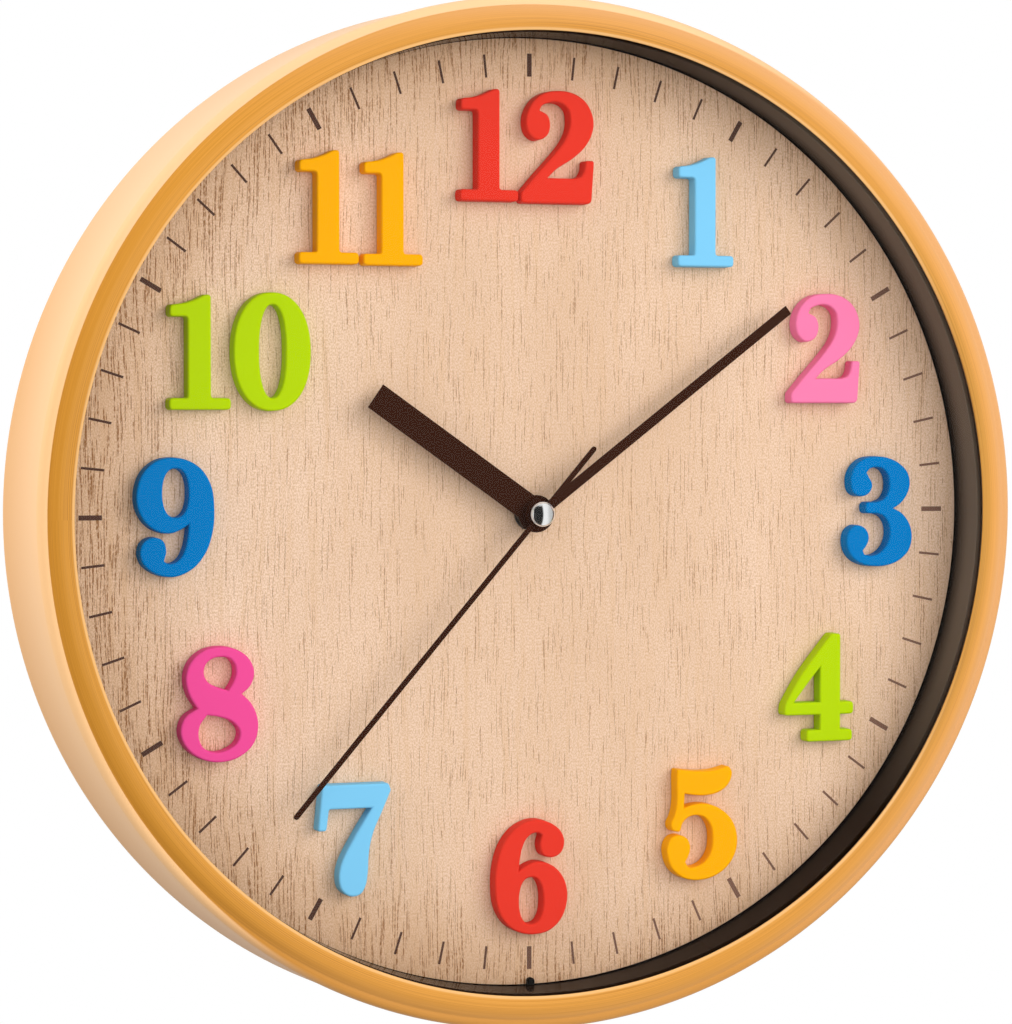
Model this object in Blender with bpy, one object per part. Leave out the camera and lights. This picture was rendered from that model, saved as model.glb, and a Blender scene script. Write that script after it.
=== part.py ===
# Wall clock with raised coloured numerals and a battery movement.
# Lengths are in metres. The clock faces -Y, +Z is up, the wall is the plane y = 0.
# The world origin is the hanging point of the back cover, on the wall plane.
# Levels are measured forward from the wall, depths rearward from the movement's front face.
# Names ending in share or shares are pure numbers.
from math import asin, atan2, cos, hypot, pi, radians, sin

import bmesh
import bpy
from mathutils import Matrix, Vector

for item in list(bpy.data.objects):
    bpy.data.objects.remove(item, do_unlink=True)

# Fits
seat_gap = 0.0003
running_gap = 0.0002
push_gap = 0.0001
cut_overrun = 0.001
weld_overlap = 0.0002
merge_distance = 0.000001
sliver_length = 0.00002

# Number of flats on round forms
ring_flats = 64
disc_flats = 24
tube_flats = 16
pin_flats = 10

# Case ring with its bezel
case_rear_radius = 0.1526
case_side_taper = 0.0019
case_side_level = 0.0412
case_wall = 0.0024
shoulder_swell = 0.0005
shoulder_width = 0.0024
bezel_outer_level = 0.0428
bezel_width = 0.0073
bezel_inner_level = 0.0441
bezel_swell = 0.0010
bezel_lip_depth = 0.0016
bezel_lip_draft = 0.0003
bezel_shoulder_drop = 0.0015
lens_rib_width = 0.0012
lens_rib_depth = 0.0045
boss_count = 6
boss_circle_inset = 0.0051
boss_radius = 0.0028
boss_dial_gap = 0.0007
boss_web_width = 0.0020
boss_web_reach = 0.0050
pilot_depth = 0.0140

# Lens, liner and dial
lens_overlap = 0.0033
lens_thickness = 0.0015
liner_reveal = 0.0002
liner_draft = 0.0004
liner_thickness = 0.0016
liner_flange_thickness = 0.0012
key_radius = 0.00105
key_height = 0.0022
key_arc_steps = 5
dial_margin = 0.0034
dial_level = 0.0257
dial_thickness = 0.0020
dial_hole_radius = 0.0042

# Back cover
cover_edge_gap = 0.0006
cover_rear_level = 0.0024
cover_thickness = 0.0020
cover_skirt_inset = 0.0066
cover_skirt_wall = 0.0020
window_clearance = 0.0030
window_corner = 0.0045
window_wall = 0.0015
window_wall_height = 0.0090
cover_rib_count = 8
cover_rib_width = 0.0016
cover_rib_height = 0.0050
hang_inset = 0.0260
keyhole_radius = 0.0045
keyhole_slot_radius = 0.00225
keyhole_drop = 0.0090
keyhole_slot_steps = 7
keyhole_arc_steps = 17

# Cover screws
screw_head_radius = 0.0025
screw_head_height = 0.0016
screw_radius = 0.0012
screw_length = 0.0100
screw_point = 0.0015

# Numerals, drawn on a square grid whose zero is the dial axis
dial_radius_share = 143.8
numeral_front_height = 0.0048
curve_steps = 2
corner_steps = 1

# Movement housing
movement_half_width = 0.0280
movement_corner = 0.0030
movement_wall = 0.0012
movement_depth = 0.0164
front_plate = 0.0014
lid_depth = 0.0145
gasket_thickness = 0.0010
gasket_half_width = 0.0250
sleeve_radius = 0.0039
sleeve_front_height = 0.0040
washer_radius = 0.0050
washer_thickness = 0.0004
nut_height = 0.0020
nut_across_flats = 0.0092
bay_wall_top = -0.0110
middle_depth = 0.0044
middle_thickness = 0.0010
pivot_depth = 0.0152
pivot_front_depth = 0.0046

# Arbors and tubes around the dial axis
second_arbor_radius = 0.0006
second_arbor_front = 0.0118
minute_bore_radius = 0.0008
minute_tube_radius = 0.0017
minute_tube_front = 0.0092
minute_tube_rear_depth = 0.0067
hour_bore_radius = 0.0019
hour_tube_radius = 0.0025
hour_tube_front = 0.0066
arbor_radius = 0.0004

# Wheel train: places are distances and angles from one arbor to the next
third_distance = 0.0085
third_angle = radians(152)
intermediate_distance = 0.0084
intermediate_angle = radians(45)
rotor_distance = 0.00528
rotor_angle = radians(80)
motion_distance = 0.0096
motion_angle = radians(-15)
knob_angle = radians(-25)
wheel_thickness = 0.0009
rotor_leaves = 8
intermediate_teeth = 40
intermediate_leaves = 8
second_teeth = 48
second_leaves = 8
third_teeth = 60
third_leaves = 8
centre_teeth = 64
cannon_leaves = 12
motion_teeth = 36
motion_leaves = 10
hour_teeth = 40
knob_leaves = 12
addendum_share = 0.85
dedendum_share = 1.20
tooth_base_share = 0.62
tooth_tip_share = 0.24

# Depths at which each toothed part starts
hour_wheel_depth = 0.0017
motion_pinion_depth = 0.0017
motion_wheel_depth = 0.0031
cannon_depth = 0.0030
centre_wheel_depth = 0.0057
third_pinion_depth = 0.0056
third_wheel_depth = 0.0072
second_pinion_depth = 0.0070
second_wheel_depth = 0.0087
intermediate_pinion_depth = 0.0086
intermediate_wheel_depth = 0.0102
rotor_pinion_depth = 0.0100
rotor_magnet_depth = 0.0116
rotor_magnet_radius = 0.0028
rotor_magnet_length = 0.0018
post_radius = 0.0007
knob_pivot_radius = 0.0008
knob_shaft_radius = 0.0012
knob_head_radius = 0.0058
knob_head_thickness = 0.0026
knob_grips = 18

# Stepping motor and circuit
stator_depth = 0.0121
stator_thickness = 0.0010
stator_ring_radius = 0.0046
stator_left = -0.0030
stator_right = 0.0170
stator_leg_width = 0.0040
stator_top = 0.0255
coil_core_thickness = 0.0007
coil_radius = 0.0028
coil_cheek_radius = 0.0030
coil_cheek_width = 0.0006
coil_post_radius = 0.0014
board_left = -0.0260
board_right = -0.0100
board_bottom = 0.0135
board_top = 0.0260
board_thickness = 0.0008
board_chip_radius = 0.0030
board_chip_height = 0.0010
crystal_radius = 0.0010
crystal_length = 0.0060

# Battery and its contacts
battery_radius = 0.0070
battery_length = 0.0492
battery_nub_radius = 0.0027
battery_nub_length = 0.0010
battery_axis_depth = 0.0088
contact_thickness = 0.0004
contact_width = 0.0090
contact_height = 0.0100
contact_bump_radius = 0.0022

# Hands, heights above the dial face, angles clockwise from twelve
hour_hand_angle = radians(304.96)
hour_hand_height = 0.0064
hour_hand_half_width = 0.00403
hour_hand_length = 0.0606
hour_disc_radius = 0.00555
hour_collar_radius = 0.0033
minute_hand_angle = radians(52.75)
minute_hand_height = 0.0090
minute_hand_half_width = 0.00146
minute_hand_length = 0.1005
minute_disc_radius = 0.00445
minute_collar_radius = 0.0025
second_hand_angle = radians(220.94)
second_hand_height = 0.01064
second_hand_half_width = 0.00078
second_hand_length = 0.1152
second_hand_tail = 0.02605
second_disc_radius = 0.0020
hand_thickness = 0.0004
hand_collar_depth = 0.0013
second_collar_depth = 0.0007
cap_radius = 0.0034
cap_edge = 0.0008
cap_front_height = 0.0138
cap_dome_steps = 5

# Sizes that follow from the ones above
window_half_width = movement_half_width + window_clearance
case_side_radius = case_rear_radius - case_side_taper
bezel_outer_radius = case_side_radius - shoulder_width
bezel_inner_radius = bezel_outer_radius - bezel_width
boss_circle_radius = case_side_radius - boss_circle_inset
lens_radius = bezel_inner_radius + lens_overlap
liner_front_radius = bezel_inner_radius - liner_reveal
liner_dial_radius = liner_front_radius - liner_draft
key_centre_radius = liner_dial_radius - key_radius
dial_radius = liner_dial_radius + dial_margin
numeral_grid = dial_radius / dial_radius_share
cover_radius = case_rear_radius - case_wall - cover_edge_gap
cover_skirt_radius = boss_circle_radius - cover_skirt_inset
hang_height = cover_skirt_radius - hang_inset
dial_rear_level = dial_level - dial_thickness
boss_front_level = dial_rear_level - boss_dial_gap
movement_level = dial_rear_level - seat_gap - gasket_thickness - seat_gap
cover_front_level = cover_rear_level + cover_thickness
bezel_under_level = bezel_inner_level - bezel_lip_depth
shoulder_under_level = bezel_under_level - bezel_shoulder_drop
lens_front_level = bezel_under_level - seat_gap
lens_rear_level = lens_front_level - lens_thickness
liner_front_level = lens_rear_level - seat_gap
liner_rear_level = dial_level + seat_gap
lens_rib_radius = lens_radius + seat_gap
screw_hole_radius = screw_radius + running_gap
bay_wall_bottom = bay_wall_top - movement_wall
bay_inner_bottom = -movement_half_width + movement_wall
battery_height = bay_inner_bottom + seat_gap + battery_radius

centre_place = (0.0, 0.0)


def from_place(place, distance, angle):
    return (place[0] + distance * cos(angle), place[1] + distance * sin(angle))


third_place = from_place(centre_place, third_distance, third_angle)
intermediate_place = from_place(centre_place, intermediate_distance, intermediate_angle)
rotor_place = from_place(intermediate_place, rotor_distance, rotor_angle)
motion_place = from_place(centre_place, motion_distance, motion_angle)
knob_place = from_place(motion_place, motion_distance, knob_angle)

clock_axis = bpy.data.objects.new("clock_axis", None)
clock_axis.location = (0.0, 0.0, -hang_height)
bpy.context.collection.objects.link(clock_axis)


# Materials
def material(name, colour, metallic=0.0, roughness=0.5, transmission=0.0):
    made = bpy.data.materials.new(name)
    made.use_nodes = True
    shader = made.node_tree.nodes["Principled BSDF"]
    shader.inputs["Base Color"].default_value = (*colour, 1.0)
    shader.inputs["Metallic"].default_value = metallic
    shader.inputs["Roughness"].default_value = roughness
    shader.inputs["Transmission Weight"].default_value = transmission
    return made


# Outlines are lists of (across, up) points
def circle(radius, flats, place=(0.0, 0.0), first_turn=0.0):
    turns = [first_turn + 2 * pi * step / flats for step in range(flats)]
    return [(place[0] + radius * cos(turn), place[1] + radius * sin(turn)) for turn in turns]


def arc(radius, place, start_turn, end_turn, steps):
    turns = [start_turn + (end_turn - start_turn) * step / steps for step in range(steps + 1)]
    return [(place[0] + radius * cos(turn), place[1] + radius * sin(turn)) for turn in turns]


def rectangle(left, bottom, right, top):
    return [(left, bottom), (right, bottom), (right, top), (left, top)]


def rounded_square(half_width, corner, steps=3):
    points = []
    reach = half_width - corner
    for quarter in range(4):
        middle = pi / 4 + quarter * pi / 2
        centre = (reach * (1 if cos(middle) > 0 else -1), reach * (1 if sin(middle) > 0 else -1))
        for step in range(steps + 1):
            turn = quarter * pi / 2 + step / steps * pi / 2
            points.append((centre[0] + corner * cos(turn), centre[1] + corner * sin(turn)))
    return points


def oval(width_radius, height_radius, fullness, place, flats):
    points = []
    for step in range(flats):
        turn = 2 * pi * step / flats
        across, up = cos(turn), sin(turn)
        side, end = (1 if across > 0 else -1), (1 if up > 0 else -1)
        points.append((place[0] + width_radius * side * abs(across) ** (2 / fullness),
                       place[1] + height_radius * end * abs(up) ** (2 / fullness)))
    return points


def arc_between(start, end, swell, steps):
    # A shallow arc from start to end that bulges to the left of the way by the given swell
    chord = hypot(end[0] - start[0], end[1] - start[1])
    side = ((start[1] - end[1]) / chord, (end[0] - start[0]) / chord)
    points = []
    for step in range(1, steps):
        along = step / steps
        rise = 4 * swell * along * (1 - along)
        points.append((start[0] + (end[0] - start[0]) * along + side[0] * rise,
                       start[1] + (end[1] - start[1]) * along + side[1] * rise))
    return points


def gear_outline(teeth, module, tooth_turn):
    # Straight-flanked teeth, one of them centred on the given turn
    pitch_radius = module * teeth / 2
    tip_radius = pitch_radius + addendum_share * module
    root_radius = pitch_radius - dedendum_share * module
    pitch = 2 * pi / teeth
    points = []
    for tooth in range(teeth):
        middle = tooth_turn + tooth * pitch
        corners = ((root_radius, -tooth_base_share), (tip_radius, -tooth_tip_share),
                   (tip_radius, tooth_tip_share), (root_radius, tooth_base_share))
        for radius, share in corners:
            turn = middle + share * pitch / 2
            points.append((radius * cos(turn), radius * sin(turn)))
    return points


# Solids
def finish(name, shape, skin, place=(0.0, 0.0)):
    bmesh.ops.remove_doubles(shape, verts=shape.verts, dist=merge_distance)
    bmesh.ops.dissolve_degenerate(shape, dist=merge_distance, edges=shape.edges)
    bmesh.ops.recalc_face_normals(shape, faces=shape.faces)
    mesh = bpy.data.meshes.new(name)
    shape.to_mesh(mesh)
    shape.free()
    solid = bpy.data.objects.new(name, mesh)
    bpy.context.collection.objects.link(solid)
    solid.parent = clock_axis
    solid.location = (place[0], 0.0, place[1])
    if skin is not None:
        mesh.materials.append(skin)
    return solid


def prism(name, outlines, rear_level, front_level, skin=None, place=(0.0, 0.0)):
    # The first outline is the outside, further ones are openings
    shape = bmesh.new()
    for outline in outlines:
        corners = [shape.verts.new((across, -rear_level, up)) for across, up in outline]
        for index, corner in enumerate(corners):
            shape.edges.new((corners[index - 1], corner))
    bmesh.ops.triangle_fill(shape, use_beauty=True, edges=shape.edges[:])
    grown = bmesh.ops.extrude_face_region(shape, geom=shape.faces[:])
    moved = [part for part in grown["geom"] if isinstance(part, bmesh.types.BMVert)]
    bmesh.ops.translate(shape, verts=moved, vec=(0.0, rear_level - front_level, 0.0))
    return finish(name, shape, skin, place)


def turned(name, profile, flats, skin=None, place=(0.0, 0.0)):
    # The profile is a closed list of (radius, level) points turned about the dial axis
    shape = bmesh.new()
    corners = [shape.verts.new((radius, -level, 0.0)) for radius, level in profile]
    for index, corner in enumerate(corners):
        shape.edges.new((corners[index - 1], corner))
    bmesh.ops.spin(shape, geom=shape.verts[:] + shape.edges[:], cent=(0.0, 0.0, 0.0),
                   axis=(0.0, 1.0, 0.0), angle=2 * pi, steps=flats, use_merge=True)
    return finish(name, shape, skin, place)


def rod(radius, rear_level, front_level, flats, place=(0.0, 0.0), first_turn=0.0):
    return prism("rod", [circle(radius, flats, place, first_turn)], rear_level, front_level)


def block(left, bottom, right, top, rear_level, front_level, turn=0.0):
    solid = prism("block", [rectangle(left, bottom, right, top)], rear_level, front_level)
    solid.data.transform(Matrix.Rotation(-turn, 4, "Y"))
    return solid


def shape_with(solid, tools, operation):
    # Tools are welded to the solid or cut out of it, all at once, and then removed
    tray = bpy.data.collections.new("tools")
    bpy.context.scene.collection.children.link(tray)
    for tool in tools:
        tray.objects.link(tool)
    change = solid.modifiers.new(operation.lower(), "BOOLEAN")
    change.operation = operation
    change.solver = "EXACT"
    change.operand_type = "COLLECTION"
    change.collection = tray
    bpy.context.view_layer.update()
    ready = solid.evaluated_get(bpy.context.evaluated_depsgraph_get())
    mesh = bpy.data.meshes.new_from_object(ready)
    skins = [skin for skin in solid.data.materials]
    solid.modifiers.clear()
    solid.data = mesh
    mesh.materials.clear()
    for skin in skins:
        mesh.materials.append(skin)
    for tool in tools:
        bpy.data.objects.remove(tool, do_unlink=True)
    bpy.data.collections.remove(tray)
    return solid


def weld(solid, *tools):
    return shape_with(solid, tools, "UNION")


def cut(solid, *tools):
    return shape_with(solid, tools, "DIFFERENCE")


def close_slivers(solid):
    # Joins the corners that a weld or cut leaves almost on top of each other
    shape = bmesh.new()
    shape.from_mesh(solid.data)
    bmesh.ops.remove_doubles(shape, verts=shape.verts, dist=sliver_length)
    bmesh.ops.dissolve_degenerate(shape, dist=sliver_length, edges=shape.edges)
    shape.to_mesh(solid.data)
    shape.free()


def at_depth(depth):
    return movement_level - depth


def at_height(height):
    return dial_level + height


def gear(name, teeth, module, tooth_turn, depth, thickness, bore=None, skin=None, place=(0.0, 0.0)):
    outlines = [gear_outline(teeth, module, tooth_turn)]
    if bore is not None:
        outlines.append(circle(bore, tube_flats))
    return prism(name, outlines, at_depth(depth + thickness), at_depth(depth), skin, place)


def placed_rod(place, radius, from_depth, to_depth, flats=pin_flats):
    solid = rod(radius, at_depth(to_depth), at_depth(from_depth), flats)
    solid.location = (place[0], 0.0, place[1])
    return solid


golden_plastic = material("golden_case_plastic", (0.80, 0.52, 0.24), roughness=0.35)
clear_plastic = material("clear_lens_plastic", (0.95, 0.96, 0.96), roughness=0.05, transmission=1.0)
liner_plastic = material("dark_liner_plastic", (0.06, 0.045, 0.04), roughness=0.3)
dial_board = material("printed_dial_board", (0.80, 0.60, 0.42), roughness=0.6)
cover_plastic = material("black_cover_plastic", (0.03, 0.03, 0.03), roughness=0.5)
screw_steel = material("screw_steel", (0.55, 0.55, 0.56), metallic=1.0, roughness=0.35)

# Case ring
side_start = (case_side_radius, case_side_level)
bezel_outer = (bezel_outer_radius, bezel_outer_level)
bezel_inner = (bezel_inner_radius, bezel_inner_level)
ring_profile = [(case_rear_radius, 0.0), side_start]
ring_profile += arc_between(side_start, bezel_outer, -shoulder_swell, 2)
ring_profile += [bezel_outer]
ring_profile += arc_between(bezel_outer, bezel_inner, -bezel_swell, 3)
ring_profile += [
    bezel_inner,
    (bezel_inner_radius + bezel_lip_draft, bezel_under_level),
    (lens_rib_radius, bezel_under_level),
    (lens_rib_radius, bezel_under_level - lens_rib_depth),
    (lens_rib_radius + lens_rib_width, bezel_under_level - lens_rib_depth),
    (lens_rib_radius + lens_rib_width, shoulder_under_level),
    (case_side_radius - case_wall, shoulder_under_level),
    (case_rear_radius - case_wall, 0.0),
]
case_ring = turned("case_ring", ring_profile, ring_flats, golden_plastic)
boss_rear_level = cover_front_level + seat_gap
bosses = []
pilots = []
for number in range(boss_count):
    turn = 2 * pi * number / boss_count
    spot = (boss_circle_radius * cos(turn), boss_circle_radius * sin(turn))
    flat_turn = turn + pi / pin_flats
    bosses.append(rod(boss_radius, boss_rear_level, boss_front_level, pin_flats, spot, flat_turn))
    bosses.append(block(boss_circle_radius, -boss_web_width / 2, boss_circle_radius + boss_web_reach,
                        boss_web_width / 2, boss_rear_level + weld_overlap,
                        boss_front_level - weld_overlap, turn))
    pilots.append(rod(screw_hole_radius, boss_rear_level - cut_overrun,
                      boss_rear_level + pilot_depth, pin_flats, spot, flat_turn))
close_slivers(weld(case_ring, *bosses))
close_slivers(cut(case_ring, *pilots))

# Lens, liner and dial
prism("front_lens", [circle(lens_radius, ring_flats)], lens_rear_level, lens_front_level, clear_plastic)
liner_ring = turned("liner_ring", [
    (liner_dial_radius, liner_rear_level),
    (liner_front_radius, liner_front_level),
    (liner_front_radius + liner_thickness, liner_front_level),
    (liner_front_radius + liner_thickness, liner_rear_level + liner_flange_thickness),
    (dial_radius, liner_rear_level + liner_flange_thickness),
    (dial_radius, liner_rear_level),
], ring_flats, liner_plastic)
key_front_level = liner_rear_level + key_height
key_root = -liner_dial_radius - key_radius
key_outline = arc(key_radius, (0.0, -key_centre_radius), 0.0, pi, key_arc_steps)
key_outline += [(-key_radius, key_root), (key_radius, key_root)]
close_slivers(weld(liner_ring, prism("key", [key_outline], liner_rear_level, key_front_level)))
prism("dial_plate", [circle(dial_radius, ring_flats), circle(dial_hole_radius, tube_flats)],
      dial_rear_level, dial_level, dial_board)

# Back cover
back_cover = prism("back_cover", [circle(cover_radius, ring_flats)], cover_rear_level, cover_front_level,
                   cover_plastic)
skirt_outlines = [circle(cover_skirt_radius, ring_flats),
                  circle(cover_skirt_radius - cover_skirt_wall, ring_flats)]
skirt = prism("skirt", skirt_outlines, cover_front_level - weld_overlap, dial_rear_level - seat_gap)
rib_rear_level = cover_front_level - 2 * weld_overlap
frame_rear_level = cover_front_level - 3 * weld_overlap
window_frame_front = cover_front_level + window_wall_height
frame_outline = rounded_square(window_half_width + window_wall, window_corner + window_wall)
window_frame = prism("window_frame", [frame_outline], frame_rear_level, window_frame_front)
cover_ribs = []
for number in range(cover_rib_count):
    turn = 2 * pi * (number + 0.5) / cover_rib_count
    rib_start = (window_half_width + window_wall / 2) / max(abs(cos(turn)), abs(sin(turn)))
    cover_ribs.append(block(rib_start, -cover_rib_width / 2, cover_skirt_radius - cover_skirt_wall / 2,
                            cover_rib_width / 2, rib_rear_level, cover_front_level + cover_rib_height, turn))
close_slivers(weld(back_cover, skirt, window_frame, *cover_ribs))
cut_rear = cover_rear_level - cut_overrun
cut_front = cover_front_level + cut_overrun
window = prism("window", [rounded_square(window_half_width, window_corner)], cut_rear,
               window_frame_front + cut_overrun)
keyhole_neck_turn = asin(keyhole_slot_radius / keyhole_radius)
keyhole_outline = arc(keyhole_slot_radius, (0.0, hang_height), 0.0, pi, keyhole_slot_steps)
keyhole_outline += arc(keyhole_radius, (0.0, hang_height - keyhole_drop), pi / 2 + keyhole_neck_turn,
                       5 * pi / 2 - keyhole_neck_turn, keyhole_arc_steps)
cover_cuts = [window, prism("keyhole", [keyhole_outline], cut_rear, cut_front)]
for number in range(boss_count):
    turn = 2 * pi * number / boss_count
    spot = (boss_circle_radius * cos(turn), boss_circle_radius * sin(turn))
    cover_cuts.append(rod(screw_hole_radius, cut_rear, cut_front, pin_flats, spot, turn + pi / pin_flats))
close_slivers(cut(back_cover, *cover_cuts))

# Cover screws
screw_head_front = cover_rear_level - seat_gap
screw_head_rear = screw_head_front - screw_head_height
screw_profile = [
    (0.0, screw_head_rear),
    (screw_head_radius, screw_head_rear),
    (screw_head_radius, screw_head_front),
    (screw_radius, screw_head_front),
    (screw_radius, screw_head_front + screw_length - screw_point),
    (0.0, screw_head_front + screw_length),
]
for number in range(boss_count):
    turn = 2 * pi * number / boss_count
    spot = (boss_circle_radius * cos(turn), boss_circle_radius * sin(turn))
    turned(f"cover_screw_{number + 1}", screw_profile, pin_flats, screw_steel, spot)

# Numeral outlines, in grid steps. The third number is the reach of a rounded corner,
# and a zero there marks a point that a smooth curve runs through.
one_shares = [
    (-5.45, 0.0, 0.8), (12.05, 0.0, 0.8), (12.05, 2.65, 0.8), (6.2, 2.65, 1.3), (6.2, 32.2, 0.6),
    (4.7, 32.15, 0.5), (2.35, 30.95, 0), (-0.65, 29.85, 0), (-5.25, 29.15, 0.7), (-5.25, 26.6, 0.7),
    (0.0, 26.6, 1.4), (0.0, 2.65, 1.1), (-5.45, 2.65, 0.8)]
six_shares = [
    (-4.25, 1.4, 0.2), (-1.65, 3.1, 0), (1.45, 4.2, 0), (5.0, 3.7, 0), (8.95, 0.8, 0), (11.05, -4.2, 0),
    (10.85, -8.5, 0), (8.95, -12.9, 0), (5.65, -15.7, 0), (1.0, -16.7, 0), (-3.7, -15.9, 0),
    (-7.4, -13.5, 0), (-10.1, -9.2, 0), (-11.1, -2.7, 0), (-10.65, 4.0, 0), (-8.5, 10.2, 0),
    (-4.8, 14.5, 0), (1.0, 16.7, 0), (6.45, 15.4, 0), (9.25, 13.0, 0), (10.15, 10.1, 0), (9.1, 7.2, 0),
    (6.3, 6.0, 0), (3.9, 6.9, 0), (3.05, 9.4, 0), (3.75, 12.7, 0.5), (2.3, 13.5, 0), (0.5, 13.4, 0),
    (-1.45, 12.1, 0), (-3.05, 9.2, 0), (-3.8, 6.0, 0)]
two_shares = [
    (-3.9, 92.0, 0.8), (17.7, 92.0, 1.2), (18.5, 104.1, 0.4), (16.4, 104.1, 0.4), (15.9, 101.2, 0),
    (14.7, 99.4, 0), (12.9, 98.75, 0.3), (3.35, 98.75, 0.2), (6.2, 101.6, 0), (12.2, 105.5, 0),
    (15.6, 108.6, 0), (17.6, 111.8, 0), (18.4, 115.2, 0), (17.8, 118.5, 0), (16.1, 121.4, 0),
    (13.2, 123.5, 0), (10.2, 124.4, 0), (7.0, 124.5, 0), (3.5, 123.9, 0), (0.3, 121.9, 0),
    (-1.7, 118.9, 0), (-2.4, 115.1, 0), (-1.5, 112.2, 0), (0.9, 110.6, 0), (3.6, 111.7, 0),
    (4.65, 114.6, 0), (3.9, 117.3, 0), (1.2, 118.8, 0.5), (2.0, 120.4, 0), (4.1, 121.5, 0),
    (6.6, 121.9, 0), (9.1, 121.2, 0), (10.95, 119.3, 0), (11.5, 116.5, 0), (11.1, 113.3, 0),
    (9.7, 110.1, 0), (6.9, 106.5, 0), (0.3, 99.25, 0), (-3.9, 94.4, 0.6)]
three_shares = [
    (111.4, 16.0, 0), (115.5, 15.6, 0), (119.3, 13.9, 0), (122.0, 11.2, 0), (122.75, 7.9, 0),
    (121.8, 4.8, 0), (119.75, 2.2, 0), (116.8, 0.4, 0.2), (120.2, -1.4, 0), (122.6, -4.4, 0),
    (123.5, -8.3, 0), (122.5, -12.3, 0), (119.5, -15.2, 0), (115.6, -16.7, 0), (111.4, -17.0, 0),
    (107.5, -16.4, 0), (104.1, -14.5, 0), (102.4, -11.9, 0), (102.0, -9.2, 0), (102.7, -6.6, 0),
    (105.5, -5.0, 0), (108.1, -6.3, 0), (108.9, -8.75, 0), (107.9, -11.1, 0), (106.8, -12.4, 0.4),
    (107.5, -13.8, 0), (109.3, -14.4, 0), (111.5, -14.2, 0), (113.9, -12.9, 0), (116.0, -10.0, 0),
    (116.6, -7.1, 0), (116.0, -3.9, 0), (114.3, -1.7, 0), (111.9, -0.75, 0.3), (108.3, -0.75, 1.1),
    (108.3, 2.0, 1.1), (111.9, 2.0, 0.3), (114.3, 2.9, 0), (116.0, 5.3, 0), (116.4, 8.3, 0),
    (115.5, 11.4, 0), (113.5, 13.1, 0), (111.2, 13.4, 0), (109.2, 12.8, 0), (108.0, 11.5, 0.4),
    (108.9, 9.9, 0), (110.0, 7.5, 0), (109.1, 5.5, 0), (106.4, 4.5, 0), (104.1, 5.6, 0),
    (103.3, 8.2, 0), (103.5, 10.6, 0), (104.9, 13.3, 0), (107.6, 15.3, 0)]
four_shares = [
    (88.7, -70.3, 0.8), (103.4, -70.3, 0.9), (103.4, -67.4, 0.9), (99.4, -67.4, 0.5), (99.4, -62.1, 0.2),
    (103.8, -62.1, 0.9), (103.8, -58.95, 0.9), (99.4, -58.95, 0.2), (99.4, -38.1, 0.5), (96.8, -38.1, 0.3),
    (91.4, -44.5, 0), (86.4, -51.0, 0), (81.4, -59.2, 1.0), (81.2, -62.1, 1.0), (93.2, -62.1, 0.2),
    (93.2, -67.4, 0.5), (88.7, -67.4, 0.8)]
four_opening_shares = [(93.2, -58.95, 0.15), (93.2, -47.1, 0.15), (90.3, -50.5, 0), (86.6, -55.0, 0),
                       (83.5, -58.95, 0.15)]
five_shares = [
    (46.0, -77.9, 0.3), (49.6, -78.4, 0), (53.75, -78.75, 0), (58.3, -78.45, 0), (62.6, -77.4, 0.6),
    (63.4, -78.9, 0), (63.1, -80.8, 0), (61.5, -83.2, 0), (58.75, -84.75, 0), (55.2, -85.4, 0),
    (51.5, -85.2, 0), (48.0, -84.6, 0.2), (47.75, -89.6, 0.2), (51.7, -88.6, 0), (55.8, -88.7, 0),
    (60.0, -90.4, 0), (63.6, -93.9, 0), (65.2, -98.8, 0), (64.4, -103.8, 0), (61.7, -107.6, 0),
    (57.9, -110.0, 0), (52.9, -111.0, 0), (47.9, -110.1, 0), (44.5, -107.4, 0), (43.0, -103.9, 0),
    (42.9, -100.6, 0), (44.1, -98.5, 0), (46.2, -97.8, 0), (48.8, -98.8, 0), (49.8, -101.2, 0),
    (49.3, -103.6, 0), (48.1, -105.7, 0.5), (49.4, -107.5, 0), (51.7, -107.6, 0), (54.6, -106.4, 0),
    (57.0, -103.3, 0), (57.7, -99.0, 0), (57.1, -95.0, 0), (55.0, -92.2, 0), (51.7, -91.3, 0),
    (48.75, -92.2, 0), (47.2, -94.0, 0), (46.5, -96.3, 0.7), (44.5, -95.6, 0), (44.0, -94.2, 0),
    (45.0, -92.0, 0)]
seven_shares = [
    (-66.5, -91.3, 0.5), (-64.5, -91.3, 0.5), (-63.7, -85.0, 1.0), (-49.8, -85.0, 0.2), (-53.3, -90.3, 0),
    (-55.7, -94.2, 0), (-57.9, -98.0, 0), (-59.6, -101.8, 0), (-60.2, -105.3, 0), (-59.3, -109.0, 0),
    (-56.6, -110.7, 0), (-54.0, -110.1, 0), (-52.6, -107.8, 0), (-52.0, -104.5, 0), (-51.7, -99.7, 0),
    (-51.2, -95.9, 0), (-50.0, -91.7, 0), (-47.9, -87.1, 0), (-44.9, -80.3, 0.3), (-45.5, -78.6, 0.5),
    (-65.2, -78.6, 0.5)]
eight_shares = [
    (-95.6, -37.6, 0), (-91.2, -38.4, 0), (-87.6, -41.0, 0), (-86.1, -44.6, 0), (-87.1, -48.3, 0),
    (-89.9, -50.9, 0.2), (-86.8, -54.1, 0), (-84.9, -60.2, 0), (-86.3, -65.3, 0), (-90.2, -68.7, 0),
    (-96.0, -70.1, 0), (-101.6, -68.9, 0), (-105.6, -65.8, 0), (-107.3, -61.6, 0), (-106.3, -57.9, 0),
    (-102.2, -54.9, 0.2), (-104.7, -50.8, 0), (-105.7, -46.0, 0), (-104.6, -42.2, 0), (-101.0, -38.8, 0)]
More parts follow.
